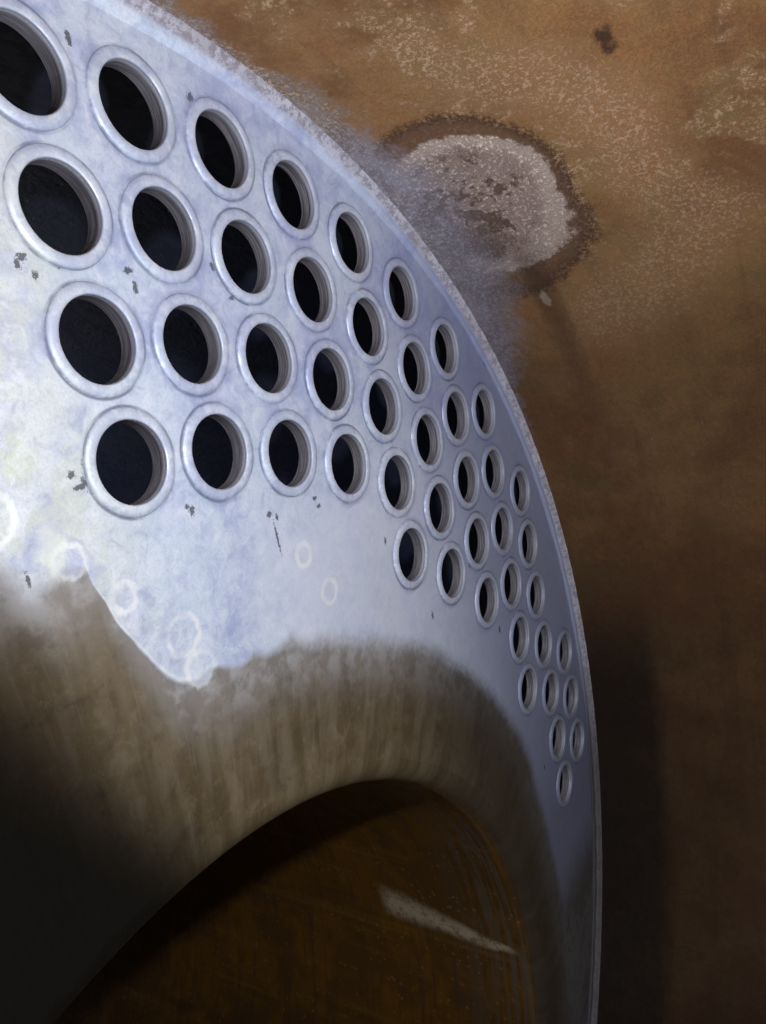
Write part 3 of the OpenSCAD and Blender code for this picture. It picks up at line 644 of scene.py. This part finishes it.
def shell_finish():
    """Shell courses: weathered outside, and inside a near-black blue that is painted shade of the
    closed shell.
    """
    finish, w, surface = finish_named("shell plate")
    place = w.centred(0.0, 0.0, AXIS_Z)
    x, _, z = w.split(place)
    outer = w.use(WEATHER, Vector=place)
    outside = w.fade(w.length(x, z), BARREL_IR + 0.006, BARREL_IR + 0.008)
    # Painted shade: near-black blue inside the shell
    w.join(surface["Base Color"], w.mix(outside, "#20253a", outer["Color"]))
    w.join(surface["Roughness"], outer["Rough"])
    surface["Specular IOR Level"].default_value = 0.3
    w.join(surface["Normal"], w.bump(outer["Height"], 0.0012))
    return finish


def plate_finish():
    """Weathered plate of the shell, nozzles, saddles and covers."""
    finish, w, surface = finish_named("weathered plate")
    outer = w.use(WEATHER, Vector=w.centred(0.0, 0.0, AXIS_Z))
    w.join(surface["Base Color"], outer["Color"])
    w.join(surface["Roughness"], outer["Rough"])
    surface["Specular IOR Level"].default_value = 0.4
    w.join(surface["Normal"], w.bump(outer["Height"], 0.0012))
    return finish


def flue_finish():
    """Flue and its rounded edge: brushed khaki at the edge, orange-brown oxide inside."""
    finish, w, surface = finish_named("flue plate")
    place = w.centred(0.0, FACE_Y, FLUE_Z)
    x, depth, z = w.split(place)
    radius = w.length(x, z)
    around_x = w.over(x, radius)
    around_z = w.over(z, radius)
    angle = w.times(w.math("ARCTAN2", z, x), 180.0 / math.pi)
    rays = w.use(RAYS, X=x, Z=z)
    hoops = w.noise(w.combine(around_x, w.times(depth, 30.0), around_z), 3.0, 3.0, 0.65)
    lengths = w.noise(w.combine(w.times(around_x, 14.0), w.times(depth, 0.9), w.times(around_z, 14.0)),
                      1.6, 5.0, 0.6)
    patches = w.use(PATCHES, Vector=place, Scale=5.0, Fine=0.6)
    oxide = w.mix(patches["Mask"], "#644415", "#4e3514")
    oxide = w.mix(w.fade(hoops, 0.48, 0.66, 0.0, 0.6), oxide, "#3b2c20")
    oxide = w.mix(w.fade(lengths, 0.52, 0.7, 0.0, 0.4), oxide, "#76561f")
    front = w.times(w.fade(depth, 0.20, 0.05), w.fade(hoops, 0.42, 0.6))
    oxide = w.mix(w.times(front, 0.7), oxide, "#5d5449")
    flecks = w.use(FLECKS, Vector=place, Scale=120.0, Share=0.08)["Mask"]
    oxide = w.mix(w.times(flecks, 0.5), oxide, "#8a6a45")

    # Painted reflection: a pale glint along the right wall, wider at its deep end and broken up in
    # spots
    level = w.less(angle, w.fade(depth, 0.04, 0.32, -1.0, 2.0))
    half = w.fade(depth, 0.03, 0.30, 0.5, 2.6)
    wander = w.less(w.noise(place, 9.0, 4.0, 0.6), 0.5)
    painted_glint = w.fade(w.over(w.size(w.plus(level, w.times(wander, 3.0))), half), 1.6, 0.2)
    painted_glint = w.times(painted_glint, w.times(w.fade(depth, 0.03, 0.07), w.fade(depth, 0.33, 0.30)))
    glint_breakup = w.fade(w.noise(place, 70.0, 5.0, 0.8), 0.62, 0.46)
    oxide = w.mix(w.times(w.times(painted_glint, w.plus(0.35, w.times(glint_breakup, 0.65))), 0.9), oxide, "#b0a28c")

    khaki = w.mix(w.fade(rays["Broad"], 0.35, 0.65), "#51442e", "#695d48")
    khaki = w.mix(w.fade(rays["Fine"], 0.52, 0.75, 0.0, 0.25), khaki, "#7d7364")
    # Painted shade: darker toward the sides, where the lamp's light falls off
    khaki = w.mix(w.fade(w.size(x), 0.32, 0.58, 0.0, 0.75), khaki, "#1f1a16")
    # Painted shadow at the lower left, where the lamp's light is cut off
    khaki = w.mix(painted_shadow_share(w, x, z, FLUE_DROP), khaki, PAINTED_SHADOW)
    edge = w.fade(w.plus(depth, w.times(w.less(hoops, 0.5), 0.012)), 0.024, 0.008)
    tone = w.mix(edge, oxide, khaki)
    outside = w.fade(radius, FLUE_IR + 0.008, FLUE_IR + 0.010)
    outside = w.times(outside, w.fade(depth, 0.05, 0.06))
    outer = w.use(WEATHER, Vector=place)
    # Painted shade: the flue's outside inside the shell is near-black, except near its rear end
    hidden = w.mix(w.fade(depth, 4.25, 4.20), outer["Color"], "#2b2530")
    w.join(surface["Base Color"], w.mix(outside, tone, hidden))
    w.join(surface["Roughness"], w.plus(0.55, w.times(patches["Mask"], 0.2)))
    surface["Specular IOR Level"].default_value = 0.2
    grain = w.use(GRAIN, Vector=place, Scale=180.0)["Height"]
    relief = w.plus(w.times(grain, 0.7), w.times(w.times(rays["Fine"], edge), 0.5))
    w.join(surface["Normal"], w.bump(relief, 0.0009))
    return finish


def flange_finish(name, y, z):
    """Machined flange: turned rings on its face, rust in blooms."""
    finish, w, surface = finish_named(name)
    place = w.centred(0.0, y, z)
    x, _, up = w.split(place)
    radius = w.length(x, up)
    rust = w.use(PATCHES, Vector=place, Scale=5.5, Fine=0.9)
    rings = w.noise(w.combine(0.0, w.times(radius, 800.0), 0.0), 1.0, 2.0)
    tone = w.mix(w.fade(rings, 0.35, 0.65), "#86817b", "#a49e97")
    tone = w.mix(w.fade(rust["Raw"], 0.44, 0.62, 0.0, 0.85), tone, "#7a5238")
    pits = w.use(FLECKS, Vector=place, Scale=75.0, Share=0.25)["Mask"]
    tone = w.mix(w.times(pits, 0.7), tone, "#54382a")
    w.join(surface["Base Color"], tone)
    w.join(surface["Metallic"], w.fade(rust["Raw"], 0.60, 0.45, 0.0, 0.8))
    w.join(surface["Roughness"], w.fade(rust["Raw"], 0.42, 0.62, 0.38, 0.8))
    relief = w.plus(w.times(rings, 0.3), w.times(rust["Raw"], 0.9))
    w.join(surface["Normal"], w.bump(relief, 0.0006))
    return finish


def bolt_finish():
    """Rusted bolt steel with lighter rubbed patches."""
    finish, w, surface = finish_named("bolt steel")
    place = w.centred(0.0, 0.0, AXIS_Z)
    rust = w.use(PATCHES, Vector=place, Scale=45.0, Fine=0.8)
    tone = w.mix(rust["Mask"], "#6d5443", "#4c3b33")
    tone = w.mix(w.fade(w.noise(place, 16.0), 0.54, 0.66, 0.0, 0.6), tone, "#8d857c")
    w.join(surface["Base Color"], tone)
    w.join(surface["Roughness"], w.plus(0.45, w.times(rust["Mask"], 0.25)))
    surface["Metallic"].default_value = 0.45
    w.join(surface["Normal"], w.bump(rust["Raw"], 0.0006))
    return finish


def weld_finish():
    """Outer weld metal: darker than the plate, with close ripples."""
    finish, w, surface = finish_named("weld metal")
    place = w.centred(0.0, 0.0, AXIS_Z)
    rust = w.use(PATCHES, Vector=place, Scale=24.0, Fine=0.8)
    tone = w.mix(rust["Mask"], "#5d4434", "#40312a")
    tone = w.mix(w.fade(w.noise(place, 60.0), 0.55, 0.7, 0.0, 0.5), tone, "#8a6c50")
    w.join(surface["Base Color"], tone)
    surface["Roughness"].default_value = 0.6
    surface["Metallic"].default_value = 0.3
    ripples = w.cells(place, 130.0).outputs["Distance"]
    w.join(surface["Normal"], w.bump(ripples, 0.0012))
    return finish


def floor_finish():
    """Pale floor that fades into the backdrop: bright to the eye, darker for the light it returns."""
    finish = bpy.data.materials.new("studio floor")
    finish.use_nodes = True
    finish.node_tree.nodes.clear()
    w = Wiring(finish.node_tree)
    output = w.add("ShaderNodeOutputMaterial")
    shader = w.add("ShaderNodeBsdfPrincipled")
    seen = w.seen()
    place = w.centred(0.0, 0.0, 0.0)
    speckle = w.noise(place, 40.0, 4.0, 0.6)
    pale = w.mix(w.fade(speckle, 0.4, 0.6), "#dcdcda", "#e2e2e0")
    w.join(shader.inputs["Base Color"], w.mix(seen, "#9a9998", pale))
    shader.inputs["Roughness"].default_value = 0.7
    x, y, _ = w.split(place)
    far = w.times(w.fade(w.length(x, y), 4.0, 9.0), seen)
    backdrop = w.add("ShaderNodeEmission", {"Color": BACKDROP, "Strength": BACKDROP_STRENGTH})
    blend = w.add("ShaderNodeMixShader", {0: far, 1: shader.outputs[0], 2: backdrop.outputs[0]})
    w.join(output.inputs["Surface"], blend.outputs[0])
    return finish


PATCHES = patches_effect()
FLECKS = flecks_effect()
GRAIN = grain_effect()
SPECKLE = speckle_effect()
RAYS = rays_effect()
STROKES = strokes_effect()
HOLE = hole_effect()
BARE = bare_effect()
WEATHER = weather_effect()

FRONT_SHEET = front_sheet_finish()
SEATS = seat_finish()
RIM = rim_finish()
CHANNEL = channel_finish()
SHELL = shell_finish()
PLATE = plate_finish()
FLUE = flue_finish()
BARREL_FLANGE = flange_finish("machined flange", 0.0, AXIS_Z)
INLET_FLANGE = flange_finish("machined inlet flange", 0.0, FLUE_Z)
BOLT = bolt_finish()
WELD = weld_finish()

FINISHES = {
    "front_tubesheet": FRONT_SHEET, "rear_tubesheet": FRONT_SHEET, "rear_seat_rings": SEATS,
    "rear_sheet_weld": RIM, "front_channel": CHANNEL, "front_flue_collar": FLUE,
    "flue_course_front": FLUE, "flue_course_middle": FLUE, "flue_course_rear": FLUE,
    "front_flange": BARREL_FLANGE, "rear_channel_flange": BARREL_FLANGE,
    "gas_inlet_flange": INLET_FLANGE, "girth_seams": WELD, "shell_course_front": SHELL,
    "shell_course_middle": SHELL, "shell_course_rear": SHELL,
}
for name, node in frame["nodes"].items():
    for place in node.material_slots:
        place.material = FINISHES.get(name, PLATE)


def piece(name, bm, finish, sharp=35.0, stands_for=()):
    """Closes a bmesh into an object that rides on the frame."""
    bmesh.ops.remove_doubles(bm, verts=bm.verts, dist=1e-6)
    bmesh.ops.recalc_face_normals(bm, faces=bm.faces)
    mesh = bpy.data.meshes.new(name)
    bm.to_mesh(mesh)
    bm.free()
    mesh.shade_smooth()
    mesh.set_sharp_from_angle(angle=math.radians(sharp))
    mesh.materials.append(finish)
    made = bpy.data.objects.new(name, mesh)
    bpy.context.scene.collection.objects.link(made)
    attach(made, "root")
    if stands_for:
        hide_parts(*stands_for)
    return made


def turned(profile, axis_point, axis, steps, sweep=360.0, toward=(1.0, 0.0, 0.0)):
    """Spins a closed profile of (radius, height) points round an axis."""
    bm = bmesh.new()
    axis = Vector(axis).normalized()
    out = Vector(toward).normalized()
    start = Vector(axis_point)
    ring = [bm.verts.new(start + out * r + axis * h) for r, h in profile]
    edges = [bm.edges.new((a, b)) for a, b in zip(ring, ring[1:] + ring[:1])]
    full = sweep >= 360.0
    bmesh.ops.spin(bm, geom=ring + edges, cent=start, axis=axis, angle=math.radians(sweep),
                   steps=steps, use_merge=full, use_duplicate=False)
    if not full:
        bmesh.ops.holes_fill(bm, edges=[e for e in bm.edges if e.is_boundary], sides=len(profile))
    return bm


def merge(bm, part, matrix):
    """Adds a copy of a small part to a bmesh, moved by a matrix."""
    mesh = bpy.data.meshes.new("part")
    part.to_mesh(mesh)
    mesh.transform(matrix)
    bm.from_mesh(mesh)
    bpy.data.meshes.remove(mesh)


# Raised seat, from the hole outwards: radius, and height over the sheet, in mm
SEAT_PROFILE = [
    (35.15, 0.0), (35.15, 1.9), (35.5, 2.6), (36.7, 3.25), (38.8, 3.5), (41.2, 3.35),
    (43.3, 2.75), (44.9, 1.75), (45.8, 0.7), (46.0, 0.0),
]


def seat_collars():
    """All the front sheet's seats, each a little out of true."""
    bm = bmesh.new()
    profile = [(r / 1000, h / 1000) for r, h in SEAT_PROFILE]
    one = turned(profile, (0.0, 0.0, 0.0), (0.0, -1.0, 0.0), 56)
    for number, (x, z) in enumerate(tube_holes()):
        part = one.copy()
        for v in part.verts:
            reach = math.hypot(v.co.x, v.co.z)
            way = Vector((v.co.x, 0.0, v.co.z)) / reach
            uneven = noise.noise(Vector((way.x * 1.3, number * 3.7, way.z * 1.3)))
            share = min(max((reach - 0.037) / 0.012, 0.0), 1.0)
            v.co += way * uneven * 0.0011 * share
            if 0.036 < reach < 0.0455:
                v.co.y = max(v.co.y - uneven * 0.0004, -0.0035)
        merge(bm, part, Matrix.Translation((x, FACE_Y, AXIS_Z + z)))
        part.free()
    one.free()
    piece("front_seat_collars", bm, SEATS, 50.0, ("front_seat_rings",))


# Weld in the corner of sheet and barrel: distance in from the bore, and out from the sheet, in mm
RIM_PROFILE = [
    (0.0, 0.0), (0.0, 15.5), (1.6, 13.0), (3.4, 11.6), (5.6, 9.8), (7.6, 7.0), (9.0, 5.0),
    (11.2, 4.6), (13.4, 4.0), (15.0, 2.6), (16.0, 1.1), (17.6, 0.7), (18.6, 0.0),
]


def sheet_rim():
    """Rippled weld bead round the front sheet."""
    profile = [(BARREL_IR - inward / 1000, out / 1000) for inward, out in RIM_PROFILE]
    bm = turned(profile, (0.0, FACE_Y, AXIS_Z), (0.0, -1.0, 0.0), 1200)
    for v in bm.verts:
        out = FACE_Y - v.co.y
        reach = math.hypot(v.co.x, v.co.z - AXIS_Z)
        if out > 0.0001 and reach < BARREL_IR - 0.001:
            around = math.atan2(v.co.z - AXIS_Z, v.co.x)
            spot = Vector((math.cos(around) * 9, math.sin(around) * 9, reach * 60))
            ripple = 0.00035 * math.sin(around * 1100 + 3 * noise.noise(spot))
            slow = 0.0009 * noise.noise(spot)
            rough = 0.0006 * noise.noise(spot * 17)
            v.co.y -= ripple + slow + rough
    piece("front_sheet_bead", bm, RIM, 60.0, ("front_sheet_weld",))


def hex_bolt(thread_r, grip, across_flats, nut_h, washer_r, washer_t, spare):
    """Stud with a nut and washer at both ends, along Z, its grip from 0 up."""
    bm = bmesh.new()
    corner_r = across_flats / math.sqrt(3)
    ends = ((0.0, -1.0), (grip, 1.0))
    for height, way in ends:
        at = height + way * washer_t / 2
        bmesh.ops.create_cone(bm, cap_ends=True, segments=28, radius1=washer_r, radius2=washer_r,
                              depth=washer_t, matrix=Matrix.Translation((0.0, 0.0, at)))
        nut = bmesh.new()
        bmesh.ops.create_cone(nut, cap_ends=True, segments=6, radius1=corner_r, radius2=corner_r,
                              depth=nut_h)
        rims = [e for e in nut.edges if abs(e.verts[0].co.z - e.verts[1].co.z) < 1e-6]
        bmesh.ops.bevel(nut, geom=rims, offset=nut_h * 0.09, segments=2, profile=0.5,
                        affect="EDGES", material=-1)
        merge(bm, nut, Matrix.Translation((0.0, 0.0, height + way * (washer_t + nut_h / 2))))
        nut.free()
    reach = washer_t + nut_h + spare
    stud = bmesh.new()
    bmesh.ops.create_cone(stud, cap_ends=True, segments=16, radius1=thread_r, radius2=thread_r,
                          depth=grip + 2 * reach, matrix=Matrix.Translation((0.0, 0.0, grip / 2)))
    rims = [e for e in stud.edges if abs(e.verts[0].co.z - e.verts[1].co.z) < 1e-6]
    bmesh.ops.bevel(stud, geom=rims, offset=thread_r * 0.18, segments=1, profile=0.5,
                    affect="EDGES", material=-1)
    merge(bm, stud, Matrix.Identity(4))
    stud.free()
    return bm


def bolt_circle(name, count, circle_r, stand, grip, **sizes):
    """Bolts on a circle: stand turns the bolts' own frame into the object's."""
    one = hex_bolt(grip=grip, **sizes)
    bm = bmesh.new()
    for i in range(count):
        around = 2 * math.pi * (i + 0.5) / count
        spot = Vector((circle_r * math.cos(around), circle_r * math.sin(around), 0.0))
        turn = Matrix.Rotation(around + 0.7 * noise.noise(Vector((i * 1.7, count, 0.3))), 4, "Z")
        merge(bm, one, stand @ Matrix.Translation(spot) @ turn)
    one.free()
    piece(name, bm, BOLT, 30.0)


# Stud of 24 mm with its nuts and washers
M24 = dict(thread_r=0.012, across_flats=0.036, nut_h=0.0215, washer_r=0.022, washer_t=0.004,
           spare=0.007)


def middle_y(node):
    low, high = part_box(node)
    return (low.y + high.y) / 2


def joint_bolts():
    """Bolts of the rear cover and of the manway's cover."""
    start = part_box("rear_channel_flange")[0].y
    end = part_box("rear_cover")[1].y
    circle_r = BARREL_IR + 0.062
    stand = Matrix.Translation((0.0, start, AXIS_Z)) @ Matrix.Rotation(-math.pi / 2, 4, "X")
    bolt_circle("rear_joint_bolts", 48, circle_r, stand, end - start, **M24)
    neck_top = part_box("manway_neck")[1].z
    circle_r = 0.3462
    flange_t = 0.0394
    lid_t = 0.036
    stand = Matrix.Translation((0.0, middle_y("manway_neck"), neck_top - flange_t))
    bolt_circle("manway_bolts", 16, circle_r, stand, flange_t + lid_t, **M24)


def bead_profile(base_r, leg):
    """Slightly full fillet weld in a corner, as (radius, height) points."""
    steps = [(0.0, 0.0), (1.0, 0.0), (0.93, 0.22), (0.72, 0.52), (0.45, 0.78), (0.2, 0.94), (0.0, 1.0)]
    return [(base_r + leg * a, leg * b) for a, b in steps]


# noise_vector takes its place in the noise from the clock where no seed is set
noise.seed_set(1)


def rough_up(bm, amount):
    """Leaves a bead's surface uneven, as a welder's is."""
    for v in bm.verts:
        v.co += noise.noise_vector(v.co * 90) * amount


def draped_bead(neck_r, y, base_r, leg, steps, up=1.0):
    """Bead where a neck stands on the barrel: a ring let down onto the round plate."""
    bm = turned(bead_profile(neck_r, leg), (0.0, y, 0.0), (0.0, 0.0, 1.0), steps)
    rough_up(bm, 0.0006)
    for v in bm.verts:
        v.co.z = AXIS_Z + up * (v.co.z + math.sqrt(base_r ** 2 - v.co.x ** 2))
    return bm


def arc_bead(base_r, y, way, leg, middle, sweep, steps, centre_z=AXIS_Z):
    """Bead along the barrel's round: middle is its angle from the top, way its side along Y."""
    toward = Matrix.Rotation(math.radians(middle - way * sweep / 2), 3, "Y") @ Vector((0.0, 0.0, 1.0))
    bm = turned(bead_profile(base_r, leg), (0.0, y, centre_z), (0.0, way, 0.0), steps, sweep, toward)
    rough_up(bm, 0.0005)
    return bm


def gather(name, beads):
    """Makes one piece of many beads."""
    bm = bmesh.new()
    for bead in beads:
        merge(bm, bead, Matrix.Identity(4))
        bead.free()
    piece(name, bm, WELD, 60.0)


# Outer radius of the necks that stand on a reinforcing pad
PADDED_NECKS = {"shell_inlet_nozzle": 0.1365, "shell_outlet_nozzle": 0.1365, "manway_neck": 0.254}
PAD_T = 0.014
PAD_WIDTH = 0.090

# Necks that stand on the barrel itself: outer radius, leg of the bead, steps round, and up or down
PLAIN_NECKS = {
    "gas_outlet_nozzle": (0.203, 0.014, 130, 1.0), "relief_nozzle": (0.057, 0.008, 56, 1.0),
    "vent_nozzle": (0.030, 0.007, 40, 1.0), "drain_nozzle": (0.030, 0.007, 40, -1.0),
}


def nozzle_beads():
    """Beads round every neck and round the reinforcing pads."""
    beads = []
    for node, neck_r in PADDED_NECKS.items():
        y = middle_y(node)
        beads.append(draped_bead(neck_r, y, BARREL_OR + PAD_T, 0.013, 110))
        beads.append(draped_bead(neck_r + PAD_WIDTH, y, BARREL_OR, 0.012, 150))
    for node, (neck_r, leg, steps, up) in PLAIN_NECKS.items():
        beads.append(draped_bead(neck_r, middle_y(node), BARREL_OR, leg, steps, up))
    gather("nozzle_welds", beads)


def saddle_beads():
    """Beads along the wrapper plates' edges and between wrapper and web."""
    beads = []
    wrapper_t = 0.014
    web_t = 0.018
    bottom = 180.0
    for end in ("front", "rear"):
        low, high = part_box(f"{end}_saddle_wrapper")
        beads.append(arc_bead(BARREL_OR, low.y, -1.0, 0.012, bottom, 130.0, 90))
        beads.append(arc_bead(BARREL_OR, high.y, 1.0, 0.012, bottom, 130.0, 90))
        for way in (-1.0, 1.0):
            side_y = (low.y + high.y) / 2 + way * web_t / 2
            beads.append(arc_bead(BARREL_OR + wrapper_t, side_y, way, 0.010, bottom, 128.0, 90))
    gather("saddle_welds", beads)


def ring_beads():
    """Beads of the flanges and of the flue where they meet the plate."""
    front_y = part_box("front_flange")[1].y
    rear_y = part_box("rear_channel_flange")[0].y
    cover_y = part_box("rear_cover")[1].y
    inlet_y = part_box("gas_inlet_flange")[0].y
    beads = [
        arc_bead(BARREL_OR, front_y, 1.0, 0.014, 0.0, 360.0, 260),
        arc_bead(BARREL_OR, rear_y, -1.0, 0.014, 0.0, 360.0, 260),
        arc_bead(FLUE_OR, cover_y, 1.0, 0.014, 0.0, 360.0, 200, FLUE_Z),
        arc_bead(FLUE_OR, inlet_y, -1.0, 0.012, 0.0, 360.0, 200, FLUE_Z),
    ]
    gather("ring_welds", beads)


def lug_beads():
    """Beads at the foot of the lifting lugs."""
    beads = []
    low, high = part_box("lifting_lugs")
    lug_t = 0.030
    lug_sweep = math.degrees(0.160 / BARREL_OR)
    for y in (low.y + lug_t / 2, high.y - lug_t / 2):
        for tilt in (-20.0, 20.0):
            for way in (-1.0, 1.0):
                beads.append(arc_bead(BARREL_OR, y + way * lug_t / 2, way, 0.010, tilt, lug_sweep, 24))
    gather("lug_welds", beads)


def lamp(name, kind, place, aim, power, size):
    """A studio lamp that points from its place to a spot."""
    light = bpy.data.lights.new(name, kind)
    light.energy = power
    if kind == "AREA":
        light.size = size
    else:
        light.shadow_soft_size = size
    made = bpy.data.objects.new(name, light)
    made.location = place
    made.rotation_mode = "QUATERNION"
    made.rotation_quaternion = (Vector(aim) - Vector(place)).to_track_quat("-Z", "Y")
    made.visible_camera = False
    bpy.context.scene.collection.objects.link(made)
    return made


def sheet_point(x, out, z):
    """A place given across, out from the front sheet and up from the barrel's axis."""
    return Vector((x, FACE_Y - out, AXIS_Z + z))


def lights():
    """A work lamp in the channel, a weaker one behind the sheet, and the studio's soft lamps."""
    held = sheet_point(-0.065, 0.493, 0.786)
    work = lamp("work_lamp", "SPOT", held, sheet_point(0.805, 0.065, 0.960), 38.0, 0.014)
    light = work.data
    light.spot_size = math.radians(146)
    light.spot_blend = 0.25
    light.use_nodes = True
    w = Wiring(light.node_tree)
    falloff = w.add("ShaderNodeLightFalloff", {"Strength": 1.0, "Smooth": 0.5})
    glow = next(n for n in light.node_tree.nodes if n.type == "EMISSION")
    w.join(glow.inputs["Strength"], falloff.outputs["Quadratic"])
    lamp("inner_lamp", "POINT", sheet_point(0.3, -1.5, 0.8), sheet_point(0.3, -1.5, 0.0), 14.0, 0.08)
    lamp("key_lamp", "AREA", (-4.0, -1.0, 6.0), (0.0, 0.0, 1.4), 300.0, 3.0)
    lamp("fill_lamp", "AREA", (4.5, 1.5, 5.0), (0.0, 0.0, 1.2), 150.0, 3.0)
    lamp("back_lamp", "AREA", (0.0, 7.5, 4.0), (0.0, 2.5, 1.2), 170.0, 3.0)
    for side in (-1.5, 1.5):
        lamp("front_lamp", "AREA", (side, -4.6, 7.0), (0.0, -2.9, 1.5), 130.0, 2.0)


def world():
    """Pale to the eye and in reflections, dim for the light it gives."""
    made = bpy.data.worlds.new("studio")
    bpy.context.scene.world = made
    made.use_nodes = True
    made.node_tree.nodes.clear()
    w = Wiring(made.node_tree)
    output = w.add("ShaderNodeOutputWorld")
    seen = w.seen()
    strength = w.fade(seen, 0.0, 1.0, 0.065, BACKDROP_STRENGTH)
    back = w.add("ShaderNodeBackground", {"Color": BACKDROP, "Strength": strength})
    w.join(output.inputs["Surface"], back.outputs[0])


def floor():
    """Floor of the studio."""
    bm = bmesh.new()
    bmesh.ops.create_grid(bm, x_segments=4, y_segments=4, size=30.0)
    mesh = bpy.data.meshes.new("floor")
    bm.to_mesh(mesh)
    bm.free()
    mesh.materials.append(floor_finish())
    made = bpy.data.objects.new("floor", mesh)
    bpy.context.scene.collection.objects.link(made)


def camera():
    """Stands inside the open channel, at arm's length from the sheet, and looks right and down."""
    ahead = Vector((0.8094, 0.5378, -0.2359))
    right = Vector((0.5047, -0.8424, -0.1885))
    up = Vector((0.3002, -0.0335, 0.9533))
    lens = bpy.data.cameras.new("camera")
    lens.lens = 26.05
    lens.sensor_width = 36.0
    lens.clip_start = 0.01
    made = bpy.data.objects.new("camera", lens)
    turn = Matrix((right, up, -ahead)).transposed().to_4x4()
    made.matrix_world = Matrix.Translation(sheet_point(-0.3021, 0.5021, 0.7642)) @ turn
    bpy.context.scene.collection.objects.link(made)
    bpy.context.scene.camera = made


camera()
seat_collars()
sheet_rim()
joint_bolts()
nozzle_beads()
saddle_beads()
ring_beads()
lug_beads()
floor()
world()
lights()
bpy.context.scene.view_settings.view_transform = "Standard"
